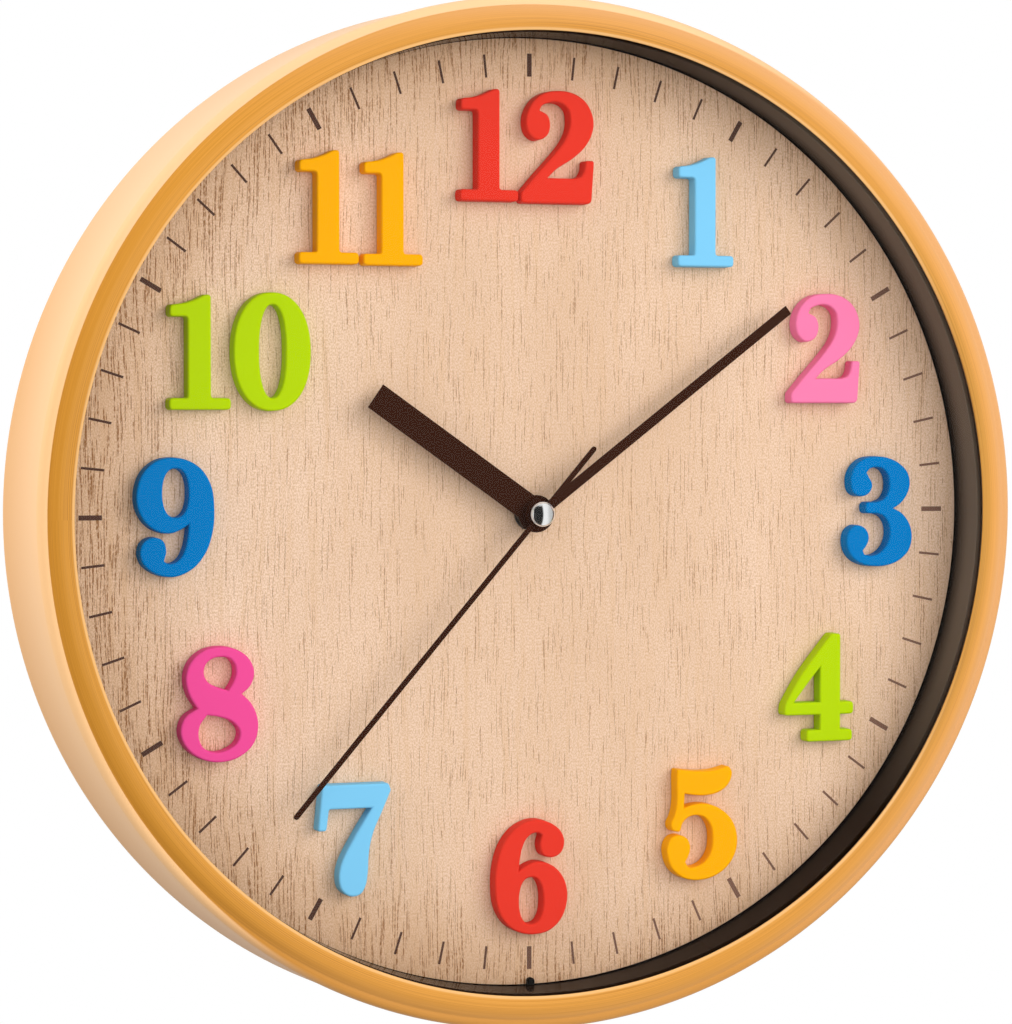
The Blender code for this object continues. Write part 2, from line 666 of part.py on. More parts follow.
eight_upper_shares = [
    (-95.8, -39.8, 0), (-93.0, -40.3, 0), (-91.3, -42.2, 0), (-90.9, -45.1, 0), (-91.9, -48.0, 0),
    (-93.4, -50.2, 0.3), (-97.1, -49.0, 0), (-99.8, -47.4, 0), (-101.0, -44.7, 0), (-100.2, -41.8, 0),
    (-98.3, -40.3, 0)]
eight_lower_shares = [
    (-99.9, -56.4, 0.4), (-96.25, -57.0, 0), (-92.0, -58.7, 0), (-89.8, -61.7, 0), (-90.5, -64.9, 0),
    (-93.3, -67.1, 0), (-97.1, -67.9, 0), (-100.9, -66.5, 0), (-102.5, -63.2, 0), (-102.1, -59.5, 0)]
zero_shares = (11.2, 16.7, 2.2)
zero_opening_shares = (4.3, 13.75, 2.3)
six_opening_shares = (4.15, 7.35, 2.3)
oval_flats = 28


def numeral_outline(shares):
    # Straight runs and curves through the given points, in grid steps
    spots = [Vector((across, up)) for across, up, reach in shares]
    count = len(spots)
    leave, arrive, way_out, way_in = [], [], [], []
    for index in range(count):
        before, here, after = spots[index - 1], spots[index], spots[(index + 1) % count]
        coming, going = (here - before), (after - here)
        reach = min(shares[index][2], coming.length / 2, going.length / 2)
        if reach:
            way_in.append(coming.normalized())
            way_out.append(going.normalized())
        else:
            smooth = (coming.normalized() * going.length + going.normalized() * coming.length).normalized()
            way_in.append(smooth)
            way_out.append(smooth)
        arrive.append(here - way_in[index] * reach)
        leave.append(here + way_out[index] * reach)
    points = []
    for index in range(count):
        following = (index + 1) % count
        if shares[index][2]:
            for step in range(corner_steps + 1):
                along = step / corner_steps
                points.append(arrive[index] * (1 - along) ** 2 + spots[index] * 2 * along * (1 - along)
                              + leave[index] * along ** 2)
        else:
            points.append(leave[index])
        if shares[index][2] and shares[following][2]:
            continue
        start, end = leave[index], arrive[following]
        pull = (end - start).length / 3
        first = start + way_out[index] * pull
        second = end - way_in[following] * pull
        for step in range(1, curve_steps):
            along = step / curve_steps
            rest = 1 - along
            points.append(start * rest ** 3 + first * 3 * along * rest ** 2
                          + second * 3 * along ** 2 * rest + end * along ** 3)
    return [(spot.x * numeral_grid, spot.y * numeral_grid) for spot in points]


def oval_outline(shares, place_share):
    place = (place_share[0] * numeral_grid, place_share[1] * numeral_grid)
    return oval(shares[0] * numeral_grid, shares[1] * numeral_grid, shares[2], place, oval_flats)


def numeral(name, outlines, skin, move_share=(0.0, 0.0), upside_down=False):
    rear_level = dial_level + seat_gap
    place = (move_share[0] * numeral_grid, move_share[1] * numeral_grid)
    if upside_down:
        outlines = [[(-across, -up) for across, up in outline] for outline in outlines]
    return prism(name, outlines, rear_level, at_height(numeral_front_height), skin, place)


red = material("red_numeral_plastic", (0.82, 0.05, 0.03), roughness=0.35)
sky = material("sky_numeral_plastic", (0.25, 0.62, 0.90), roughness=0.35)
pink = material("pink_numeral_plastic", (0.95, 0.24, 0.47), roughness=0.35)
blue = material("blue_numeral_plastic", (0.0, 0.28, 0.72), roughness=0.35)
lime = material("lime_numeral_plastic", (0.46, 0.72, 0.01), roughness=0.35)
amber = material("amber_numeral_plastic", (1.0, 0.45, 0.0), roughness=0.35)
magenta = material("magenta_numeral_plastic", (0.84, 0.07, 0.30), roughness=0.35)
one_outline = numeral_outline(one_shares)
two_outline = numeral_outline(two_shares)
six_outlines = [numeral_outline(six_shares), oval_outline(six_opening_shares, (0.0, -6.95))]
numeral("numeral_12_one", [one_outline], red, (-17.4, 92.3))
numeral("numeral_12_two", [two_outline], red)
numeral("numeral_1", [one_outline], sky, (51.5, 74.0))
numeral("numeral_2", [two_outline], pink, (87.1, -58.9))
numeral("numeral_3", [numeral_outline(three_shares)], blue)
numeral("numeral_4", [numeral_outline(four_shares), numeral_outline(four_opening_shares)], lime)
numeral("numeral_5", [numeral_outline(five_shares)], amber)
numeral("numeral_6", six_outlines, red, (-0.95, -108.0))
numeral("numeral_7", [numeral_outline(seven_shares)], sky)
numeral("numeral_8", [numeral_outline(eight_shares), numeral_outline(eight_upper_shares),
                      numeral_outline(eight_lower_shares)], magenta)
numeral("numeral_9", six_outlines, blue, (-108.85, 0.0), upside_down=True)
numeral("numeral_10_one", [one_outline], lime, (-104.85, 31.05))
numeral("numeral_10_zero", [oval_outline(zero_shares, (0.0, 0.0)),
                            oval_outline(zero_opening_shares, (0.05, 0.1))], lime, (-80.15, 47.4))
numeral("numeral_11_left", [one_outline], amber, (-66.5, 73.2))
numeral("numeral_11_right", [one_outline], amber, (-47.0, 73.0))

# Movement housing
case_plastic = material("movement_case_plastic", (0.02, 0.02, 0.022), roughness=0.5)
frame_plastic = material("movement_frame_plastic", (0.75, 0.75, 0.72), roughness=0.5)
soft_rubber = material("gasket_rubber", (0.02, 0.02, 0.02), roughness=0.8)
nut_metal = material("blackened_nut_metal", (0.03, 0.03, 0.03), metallic=0.6, roughness=0.4)
bright_metal = material("bright_washer_metal", (0.6, 0.6, 0.6), metallic=1.0, roughness=0.3)
wheel_plastic = material("wheel_plastic", (0.85, 0.85, 0.80), roughness=0.4)

front_case = prism("movement_front_case", [rounded_square(movement_half_width, movement_corner)],
                   at_depth(movement_depth), at_depth(0.0), case_plastic)
inner_half_width = movement_half_width - movement_wall
train_cavity = block(-inner_half_width, bay_wall_top, inner_half_width, inner_half_width,
                     at_depth(movement_depth + cut_overrun), at_depth(front_plate))
bay_cavity = block(-inner_half_width, bay_inner_bottom, inner_half_width, bay_wall_bottom,
                   at_depth(movement_depth + cut_overrun), at_depth(front_plate))
lid_seat = block(-movement_half_width - cut_overrun, bay_wall_bottom - seat_gap,
                 movement_half_width + cut_overrun, movement_half_width + cut_overrun,
                 at_depth(movement_depth + cut_overrun), at_depth(lid_depth - seat_gap))
cut(front_case, train_cavity, bay_cavity, lid_seat)
sleeve = rod(sleeve_radius, at_depth(front_plate / 2), at_height(sleeve_front_height), tube_flats)
motion_post = placed_rod(motion_place, post_radius, front_plate - weld_overlap,
                         motion_wheel_depth + wheel_thickness)
weld(front_case, sleeve, motion_post)
sleeve_bore_radius = hour_tube_radius + running_gap
cut(front_case,
    rod(sleeve_bore_radius, at_depth(front_plate + cut_overrun), at_height(sleeve_front_height + cut_overrun),
        tube_flats),
    placed_rod(knob_place, knob_pivot_radius + running_gap, front_plate / 2, front_plate + cut_overrun))

lid = prism("movement_back_case", [rounded_square(movement_half_width, movement_corner)],
            at_depth(movement_depth), at_depth(lid_depth), case_plastic)
cut(lid, block(-movement_half_width - cut_overrun, -movement_half_width - cut_overrun,
               movement_half_width + cut_overrun, bay_wall_bottom, at_depth(movement_depth + cut_overrun),
               at_depth(lid_depth - cut_overrun)))
lid_cuts = [placed_rod(knob_place, knob_shaft_radius + running_gap, lid_depth - cut_overrun,
                       movement_depth + cut_overrun)]
for place in (third_place, intermediate_place, rotor_place):
    lid_cuts.append(placed_rod(place, arbor_radius + running_gap, lid_depth - cut_overrun,
                               pivot_depth + seat_gap))
lid_cuts.append(placed_rod(centre_place, second_arbor_radius + running_gap, lid_depth - cut_overrun,
                           pivot_depth + seat_gap))
cut(lid, *lid_cuts)

middle_side = movement_half_width - movement_wall - seat_gap
core_depth = stator_depth - seat_gap - coil_core_thickness
middle_plate = prism("movement_middle_plate",
                     [rectangle(-middle_side, bay_wall_top + seat_gap, middle_side, middle_side)],
                     at_depth(middle_depth + middle_thickness), at_depth(middle_depth), frame_plastic)
coil_height = stator_top - stator_leg_width / 2
coil_posts = []
for across in (stator_left + stator_leg_width / 2, stator_right - stator_leg_width / 2):
    coil_posts.append(placed_rod((across, coil_height), coil_post_radius,
                                 middle_depth + middle_thickness - weld_overlap, core_depth - seat_gap))
weld(middle_plate, *coil_posts)
middle_front = middle_depth - cut_overrun
middle_rear = middle_depth + middle_thickness + cut_overrun
middle_cuts = [placed_rod(centre_place, minute_tube_radius + running_gap, middle_front, middle_rear,
                          tube_flats),
               placed_rod(knob_place, knob_shaft_radius + running_gap, middle_front, middle_rear)]
for place in (third_place, intermediate_place, rotor_place):
    middle_cuts.append(placed_rod(place, arbor_radius + running_gap, middle_front, middle_rear))
cut(middle_plate, *middle_cuts)

gasket_rear_level = movement_level + seat_gap
prism("rubber_gasket", [rounded_square(gasket_half_width, movement_corner),
                        circle(sleeve_radius + seat_gap, tube_flats)],
      gasket_rear_level, gasket_rear_level + gasket_thickness, soft_rubber)
washer_level = dial_level + seat_gap
prism("metal_washer", [circle(washer_radius, disc_flats), circle(sleeve_radius + running_gap, tube_flats)],
      washer_level, washer_level + washer_thickness, bright_metal)
nut_level = washer_level + washer_thickness + seat_gap
nut_corner_radius = nut_across_flats / 2 / cos(pi / 6)
prism("fixing_nut", [circle(nut_corner_radius, 6), circle(sleeve_radius + push_gap, tube_flats)],
      nut_level, nut_level + nut_height, nut_metal)


# Wheel train
def direction(start, end):
    return atan2(end[1] - start[1], end[0] - start[0])


def module_for(distance, first_teeth, second_count):
    return 2 * distance / (first_teeth + second_count)


def pinion_turn(wheel_place, place, leaves):
    # The pinion shows a gap to the wheel whose tooth lies on the line of centres
    return direction(place, wheel_place) + pi / leaves


rotor_module = module_for(rotor_distance, rotor_leaves, intermediate_teeth)
intermediate_module = module_for(intermediate_distance, intermediate_leaves, second_teeth)
second_module = module_for(third_distance, second_leaves, third_teeth)
third_module = module_for(third_distance, third_leaves, centre_teeth)
motion_module = module_for(motion_distance, cannon_leaves, motion_teeth)
hour_module = module_for(motion_distance, motion_leaves, hour_teeth)

second_wheel = gear("second_wheel", second_teeth, intermediate_module,
                    direction(centre_place, intermediate_place), second_wheel_depth, wheel_thickness,
                    skin=wheel_plastic)
weld(second_wheel,
     gear("leaves", second_leaves, second_module, pinion_turn(third_place, centre_place, second_leaves),
          second_pinion_depth, second_wheel_depth + weld_overlap - second_pinion_depth),
     rod(second_arbor_radius, at_depth(pivot_depth), at_height(second_arbor_front), pin_flats))

third_wheel = gear("third_wheel", third_teeth, second_module, direction(third_place, centre_place),
                   third_wheel_depth, wheel_thickness, skin=wheel_plastic, place=third_place)
third_pinion = gear("leaves", third_leaves, third_module,
                    pinion_turn(centre_place, third_place, third_leaves), third_pinion_depth,
                    third_wheel_depth + weld_overlap - third_pinion_depth, place=third_place)
weld(third_wheel, third_pinion, placed_rod(third_place, arbor_radius, pivot_front_depth, pivot_depth))

gear("centre_wheel", centre_teeth, third_module, direction(centre_place, third_place),
     centre_wheel_depth, wheel_thickness, bore=minute_tube_radius + push_gap, skin=wheel_plastic)

intermediate_wheel = gear("intermediate_wheel", intermediate_teeth, rotor_module,
                          direction(intermediate_place, rotor_place), intermediate_wheel_depth,
                          wheel_thickness, skin=wheel_plastic, place=intermediate_place)
intermediate_pinion = gear("leaves", intermediate_leaves, intermediate_module,
                           pinion_turn(centre_place, intermediate_place, intermediate_leaves),
                           intermediate_pinion_depth,
                           intermediate_wheel_depth + weld_overlap - intermediate_pinion_depth,
                           place=intermediate_place)
weld(intermediate_wheel, intermediate_pinion,
     placed_rod(intermediate_place, arbor_radius, pivot_front_depth, pivot_depth))

rotor_skin = material("rotor_magnet", (0.12, 0.12, 0.13), metallic=0.4, roughness=0.5)
rotor = prism("motor_rotor", [circle(rotor_magnet_radius, tube_flats)],
              at_depth(rotor_magnet_depth + rotor_magnet_length), at_depth(rotor_magnet_depth),
              rotor_skin, rotor_place)
rotor_pinion = gear("leaves", rotor_leaves, rotor_module,
                    pinion_turn(intermediate_place, rotor_place, rotor_leaves), rotor_pinion_depth,
                    rotor_magnet_depth + weld_overlap - rotor_pinion_depth, place=rotor_place)
weld(rotor, rotor_pinion, placed_rod(rotor_place, arbor_radius, pivot_front_depth, pivot_depth))

minute_tube = prism("minute_tube", [circle(minute_tube_radius, tube_flats)],
                    at_depth(minute_tube_rear_depth), at_height(minute_tube_front), wheel_plastic)
weld(minute_tube, gear("leaves", cannon_leaves, motion_module,
                       pinion_turn(motion_place, centre_place, cannon_leaves), cannon_depth,
                       middle_depth - seat_gap - cannon_depth))
cut(minute_tube, rod(minute_bore_radius, at_depth(minute_tube_rear_depth + cut_overrun),
                     at_height(minute_tube_front + cut_overrun), pin_flats))

motion_turn = direction(motion_place, centre_place)
motion_wheel = gear("motion_wheel", motion_teeth, motion_module, motion_turn, motion_wheel_depth,
                    wheel_thickness, skin=wheel_plastic, place=motion_place)
motion_pinion = gear("leaves", motion_leaves, hour_module,
                     pinion_turn(centre_place, motion_place, motion_leaves), motion_pinion_depth,
                     motion_wheel_depth + weld_overlap - motion_pinion_depth, place=motion_place)
weld(motion_wheel, motion_pinion)
cut(motion_wheel, placed_rod(motion_place, post_radius + running_gap, motion_pinion_depth - cut_overrun,
                             motion_wheel_depth + wheel_thickness + cut_overrun))

hour_wheel = gear("hour_wheel", hour_teeth, hour_module, direction(centre_place, motion_place),
                  hour_wheel_depth, wheel_thickness, skin=wheel_plastic)
weld(hour_wheel, rod(hour_tube_radius, at_depth(hour_wheel_depth + wheel_thickness / 2),
                     at_height(hour_tube_front), tube_flats))
cut(hour_wheel, rod(hour_bore_radius, at_depth(hour_wheel_depth + wheel_thickness + cut_overrun),
                    at_height(hour_tube_front + cut_overrun), tube_flats))

# Setting knob: its pinion gap meets the motion wheel's nearest tooth
knob_way = direction(motion_place, knob_place)
tooth_pitch = 2 * pi / motion_teeth
tooth_slip = (motion_turn - knob_way + tooth_pitch / 2) % tooth_pitch - tooth_pitch / 2
knob_turn = knob_way + pi - tooth_slip * motion_teeth / knob_leaves + pi / knob_leaves
knob_plastic = material("knob_plastic", (0.05, 0.05, 0.05), roughness=0.5)
setting_knob = gear("setting_knob", knob_leaves, motion_module, knob_turn, motion_wheel_depth,
                    wheel_thickness, skin=knob_plastic, place=knob_place)
knob_head_depth = movement_depth + seat_gap
knob_grip_module = knob_head_radius / (knob_grips / 2 + addendum_share)
knob_head = prism("knob_head", [gear_outline(knob_grips, knob_grip_module, 0.0)],
                  at_depth(knob_head_depth + knob_head_thickness), at_depth(knob_head_depth), place=knob_place)
weld(setting_knob,
     placed_rod(knob_place, knob_pivot_radius, front_plate / 2 + seat_gap, motion_wheel_depth + weld_overlap),
     placed_rod(knob_place, knob_shaft_radius, motion_wheel_depth, knob_head_depth + weld_overlap),
     knob_head)

# Stepping motor
steel_plate = material("stator_steel", (0.55, 0.55, 0.55), metallic=1.0, roughness=0.4)
copper = material("coil_copper", (0.70, 0.28, 0.12), metallic=0.7, roughness=0.4)
stator_bottom = rotor_place[1] - stator_ring_radius
stator_bar_top = rotor_place[1] + stator_ring_radius
stator_outline = [
    (stator_left, stator_bottom), (stator_right, stator_bottom), (stator_right, stator_top),
    (stator_right - stator_leg_width, stator_top), (stator_right - stator_leg_width, stator_bar_top),
    (stator_left + stator_leg_width, stator_bar_top), (stator_left + stator_leg_width, stator_top),
    (stator_left, stator_top)]
prism("motor_stator", [stator_outline, circle(rotor_magnet_radius + seat_gap, tube_flats, rotor_place)],
      at_depth(stator_depth + stator_thickness), at_depth(stator_depth), steel_plate)
coil_core_outline = rectangle(stator_left, stator_top - stator_leg_width, stator_right, stator_top)
motor_coil = prism("motor_coil", [coil_core_outline], at_depth(core_depth + coil_core_thickness),
                   at_depth(core_depth), copper)
coil_left = stator_left + stator_leg_width + seat_gap
coil_right = stator_right - stator_leg_width - seat_gap
core_level = at_depth(core_depth + coil_core_thickness / 2)


def lying_rod(profile, level, height, flats):
    # A turned form whose axis lies along X, profile points are (radius, x)
    solid = turned("lying_rod", [(radius, -across) for radius, across in profile], flats)
    solid.data.transform(Matrix.Rotation(-pi / 2, 4, "Z"))
    solid.data.transform(Matrix.Translation((0.0, -level, height)))
    return solid


winding = lying_rod([
    (0.0, coil_left), (coil_cheek_radius, coil_left), (coil_cheek_radius, coil_left + coil_cheek_width),
    (coil_radius, coil_left + coil_cheek_width), (coil_radius, coil_right - coil_cheek_width),
    (coil_cheek_radius, coil_right - coil_cheek_width), (coil_cheek_radius, coil_right), (0.0, coil_right),
], core_level, coil_height, tube_flats)
weld(motor_coil, winding)

# Circuit board with its chip cover and crystal
board_green = material("circuit_board", (0.02, 0.22, 0.08), roughness=0.4)
board_front_depth = middle_depth + middle_thickness + seat_gap
board_rear_depth = board_front_depth + board_thickness
circuit_board = prism("circuit_board", [rectangle(board_left, board_bottom, board_right, board_top)],
                      at_depth(board_rear_depth), at_depth(board_front_depth), board_green)
chip_spot = (board_left + (board_right - board_left) / 3, (board_bottom + board_top) / 2)
chip = placed_rod(chip_spot, board_chip_radius, board_rear_depth - weld_overlap,
                  board_rear_depth + board_chip_height, tube_flats)
crystal_middle = (board_left + board_right) / 2
crystal = lying_rod([
    (0.0, crystal_middle), (crystal_radius, crystal_middle),
    (crystal_radius, crystal_middle + crystal_length), (0.0, crystal_middle + crystal_length),
], at_depth(board_rear_depth + crystal_radius / 2), board_top - crystal_radius * 2, pin_flats)
weld(circuit_board, chip, crystal)

# Battery and contacts
battery_skin = material("battery_sleeve", (0.10, 0.10, 0.12), metallic=0.3, roughness=0.35)
battery_end = battery_length / 2
battery = lying_rod([
    (0.0, -battery_end), (battery_radius, -battery_end), (battery_radius, battery_end),
    (battery_nub_radius, battery_end), (battery_nub_radius, battery_end + battery_nub_length),
    (0.0, battery_end + battery_nub_length),
], at_depth(battery_axis_depth), battery_height, disc_flats)
battery.name = "battery"
battery.data.materials.append(battery_skin)
contact_metal = material("contact_metal", (0.65, 0.62, 0.5), metallic=1.0, roughness=0.35)
contact_outer = movement_half_width - movement_wall - seat_gap
positive_gap_end = battery_end + battery_nub_length + seat_gap
negative_gap_end = -battery_end - seat_gap
for name, side, bump_end in (("battery_contact_positive", 1, positive_gap_end),
                             ("battery_contact_negative", -1, negative_gap_end)):
    plate_inner = side * (contact_outer - contact_thickness)
    left, right = sorted((side * contact_outer, plate_inner))
    contact = prism(name, [rectangle(left, battery_height - contact_height / 2, right,
                                     battery_height + contact_height / 2)],
                    at_depth(battery_axis_depth + contact_width / 2),
                    at_depth(battery_axis_depth - contact_width / 2), contact_metal)
    bump_low, bump_high = sorted((bump_end, plate_inner + side * contact_thickness / 2))
    bump = lying_rod([(0.0, bump_low), (contact_bump_radius, bump_low), (contact_bump_radius, bump_high),
                      (0.0, bump_high)], at_depth(battery_axis_depth), battery_height, pin_flats)
    weld(contact, bump)


# Hands
def clockwise(points, angle):
    return [(across * cos(angle) + up * sin(angle), up * cos(angle) - across * sin(angle))
            for across, up in points]


def hand(name, blade, angle, height, disc_radius, collar_radius, collar_depth, bore_radius):
    plate_level = at_height(height - hand_thickness)
    solid = prism(name, [clockwise(blade, angle)], plate_level, at_height(height), hand_enamel)
    weld(solid,
         rod(disc_radius, plate_level, at_height(height), disc_flats),
         rod(collar_radius, plate_level - collar_depth, plate_level + hand_thickness / 2, tube_flats))
    cut(solid, rod(bore_radius, plate_level - collar_depth - cut_overrun, at_height(height) + cut_overrun,
                   tube_flats))


hand_enamel = material("dark_brown_hand_enamel", (0.05, 0.02, 0.012), roughness=0.6)
hour_blade = rectangle(-hour_hand_half_width, 0.0, hour_hand_half_width, hour_hand_length)
hand("hour_hand", hour_blade, hour_hand_angle, hour_hand_height, hour_disc_radius, hour_collar_radius,
     hand_collar_depth, hour_tube_radius + push_gap)
minute_blade = rectangle(-minute_hand_half_width, 0.0, minute_hand_half_width, minute_hand_length)
hand("minute_hand", minute_blade, minute_hand_angle, minute_hand_height, minute_disc_radius,
     minute_collar_radius, hand_collar_depth, minute_tube_radius + push_gap)
tip_reach = second_hand_length - second_hand_half_width
tail_reach = second_hand_tail - second_hand_half_width
second_blade = []
for end, start_turn in ((tip_reach, 0.0), (-tail_reach, pi)):
    for step in range(5):
        turn = start_turn + pi * step / 4
        second_blade.append((second_hand_half_width * cos(turn), end + second_hand_half_width * sin(turn)))
hand("second_hand", second_blade, second_hand_angle, second_hand_height, second_disc_radius,
     second_disc_radius - second_arbor_radius, second_collar_depth, second_arbor_radius + push_gap)

cap_metal = material("polished_cap_metal", (0.8, 0.8, 0.8), metallic=1.0, roughness=0.12)
cap_rear = at_height(second_hand_height + seat_gap)
cap_edge_level = cap_rear + cap_edge
cap_front = at_height(cap_front_height)
cap_profile = [(0.0, cap_rear), (cap_radius, cap_rear)]
for step in range(cap_dome_steps):
    turn = pi / 2 * step / cap_dome_steps
    cap_profile.append((cap_radius * cos(turn), cap_edge_level + (cap_front - cap_edge_level) * sin(turn)))
cap_profile.append((0.0, cap_front))
centre_cap = turned("centre_cap", cap_profile, disc_flats, cap_metal)
cut(centre_cap, rod(second_arbor_radius + push_gap, cap_rear - cut_overrun,
                    at_height(second_arbor_front + seat_gap), pin_flats))

# Smooth shading with crisp edges on every piece
crease_angle = radians(30)
for solid in bpy.context.collection.objects:
    if solid.type == "MESH":
        solid.data.shade_smooth()
        solid.data.set_sharp_from_angle(angle=crease_angle)
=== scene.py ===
import bpy
import numpy as np
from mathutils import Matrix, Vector
from mathutils.geometry import tessellate_polygon


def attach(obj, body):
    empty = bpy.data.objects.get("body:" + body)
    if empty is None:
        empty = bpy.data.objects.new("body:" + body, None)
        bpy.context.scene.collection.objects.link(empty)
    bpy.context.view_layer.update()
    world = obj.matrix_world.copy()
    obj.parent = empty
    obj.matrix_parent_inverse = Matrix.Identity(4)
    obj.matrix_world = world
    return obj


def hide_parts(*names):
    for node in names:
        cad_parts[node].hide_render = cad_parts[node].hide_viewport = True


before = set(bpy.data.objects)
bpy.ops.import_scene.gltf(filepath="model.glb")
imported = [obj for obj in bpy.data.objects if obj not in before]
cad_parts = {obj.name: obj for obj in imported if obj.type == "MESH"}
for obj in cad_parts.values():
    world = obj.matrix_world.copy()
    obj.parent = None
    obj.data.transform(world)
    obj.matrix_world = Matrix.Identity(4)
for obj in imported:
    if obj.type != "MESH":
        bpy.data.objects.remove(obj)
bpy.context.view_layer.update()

# Lengths are in metres. A level is a distance in front of the wall, so y = -level. The dial's axis runs along
# y through x = 0 and z = AXIS_HEIGHT.
MM = 0.001
AXIS_HEIGHT = -0.113
DIAL_LEVEL = 0.0257
NUMERAL_BASE_LEVEL = 0.0260
BEZEL_LEVEL = 0.0428
BEZEL_INNER = 0.1413
BEZEL_OUTER = 0.1484
SHOULDER = (0.1512, 0.0404)
REAR_RIM = 0.1526
CAP_FLANGE = 0.00365


def srgb(red, green, blue):
    """Linear colour of a display colour given as 0 to 255."""
    values = np.array([red, green, blue]) / 255.0
    linear = np.where(values <= 0.04045, values / 12.92, ((values + 0.055) / 1.055) ** 2.4)
    return tuple(float(v) for v in linear)


# Shader graphs
class Nodes:
    """A node tree with short calls for the nodes that the looks below need."""

    def __init__(self, tree):
        self.tree = tree
        self.tree.nodes.clear()

    def node(self, kind, **settings):
        made = self.tree.nodes.new(kind)
        for key, value in settings.items():
            setattr(made, key, value)
        return made

    def put(self, socket, value):
        if isinstance(value, bpy.types.NodeSocket):
            self.tree.links.new(value, socket)
        elif isinstance(value, tuple) and len(value) == 3 and socket.type == "RGBA":
            socket.default_value = (*value, 1.0)
        else:
            socket.default_value = value

    def math(self, operation, first, second=0.0, third=0.0):
        made = self.node("ShaderNodeMath", operation=operation)
        for socket, value in zip(made.inputs, (first, second, third)):
            self.put(socket, value)
        return made.outputs[0]

    def times(self, first, second):
        return self.math("MULTIPLY", first, second)

    def plus(self, first, second):
        return self.math("ADD", first, second)

    def minus(self, first, second):
        return self.math("SUBTRACT", first, second)

    def larger(self, first, second):
        return self.math("MAXIMUM", first, second)

    def weighted(self, first, weight, second):
        """First times weight, plus second."""
        return self.math("MULTIPLY_ADD", first, weight, second)

    def length(self, x, z):
        return self.math("SQRT", self.plus(self.times(x, x), self.times(z, z)))

    def span(self, value, low, high, to_low=0.0, to_high=1.0, smooth=True):
        """Value from low to high, mapped to to_low to to_high and held there beyond."""
        made = self.node("ShaderNodeMapRange", interpolation_type="SMOOTHSTEP" if smooth else "LINEAR")
        for key, item in zip(("Value", "From Min", "From Max", "To Min", "To Max"),
                             (value, low, high, to_low, to_high)):
            self.put(made.inputs[key], item)
        return made.outputs[0]

    def mix(self, share, first, second, blend="MIX"):
        made = self.node("ShaderNodeMix", data_type="RGBA", blend_type=blend)
        self.put(made.inputs[0], share)
        self.put(made.inputs[6], first)
        self.put(made.inputs[7], second)
        return made.outputs[2]

    def tinted(self, share, colour, tint):
        """Colour, and by share the colour times the tint."""
        return self.mix(share, colour, self.mix(1.0, colour, tint, blend="MULTIPLY"))

    def spot(self):
        """The object coordinates."""
        return self.node("ShaderNodeTexCoord").outputs["Object"]

    def place(self):
        """Separate x, y and z of the object coordinates."""
        made = self.node("ShaderNodeSeparateXYZ")
        self.put(made.inputs[0], self.spot())
        return made.outputs

    def vector(self, x, y, z):
        made = self.node("ShaderNodeCombineXYZ")
        for socket, value in zip(made.inputs, (x, y, z)):
            self.put(socket, value)
        return made.outputs[0]

    def noise(self, vector, scale=1.0, detail=2.0, roughness=0.5):
        made = self.node("ShaderNodeTexNoise")
        self.put(made.inputs["Vector"], vector)
        for key, value in (("Scale", scale), ("Detail", detail), ("Roughness", roughness)):
            made.inputs[key].default_value = value
        return made.outputs[0]

    def bump(self, height, strength, distance):
        made = self.node("ShaderNodeBump")
        made.inputs["Strength"].default_value = strength
        made.inputs["Distance"].default_value = distance
        self.put(made.inputs["Height"], height)
        return made.outputs[0]


class Graph(Nodes):
    """The node tree of a new material."""

    def __init__(self, name):
        self.material = bpy.data.materials.new(name)
        self.material.use_nodes = True
        super().__init__(self.material.node_tree)
        self.output = self.node("ShaderNodeOutputMaterial")

    def surface(self, **inputs):
        """Ends the graph in a Principled surface with these inputs."""
        made = self.node("ShaderNodeBsdfPrincipled")
        for key, value in inputs.items():
            self.put(made.inputs[key.replace("_", " ")], value)
        self.tree.links.new(made.outputs[0], self.output.inputs["Surface"])
        return self.material


def plain(name, colour, roughness, metallic=0.0, specular=0.5, grain=0.0, tone=0.04):
    """A moulded or drawn surface: one colour with a faint slow change of tone, and a fine grain where given."""
    graph = Graph(name)
    spot = graph.spot()
    slow = graph.noise(spot, scale=60.0, detail=2.0)
    shade = tuple(max(0.0, c * (1.0 - tone)) for c in colour)
    light = tuple(min(1.0, c * (1.0 + tone)) for c in colour)
    inputs = dict(Base_Color=graph.mix(slow, shade, light), Roughness=roughness, Metallic=metallic,
                  Specular_IOR_Level=specular)
    if grain:
        inputs["Normal"] = graph.bump(graph.noise(spot, scale=4000.0, detail=1.0), grain, 0.00005)
    return graph.surface(**inputs)


# Meshes
def as_object(name, points, faces, material, smooth=True):
    mesh = bpy.data.meshes.new(name)
    mesh.from_pydata([tuple(p) for p in points], [], faces)
    mesh.materials.append(material)
    if smooth:
        mesh.shade_smooth()
    made = bpy.data.objects.new(name, mesh)
    bpy.context.scene.collection.objects.link(made)
    return made


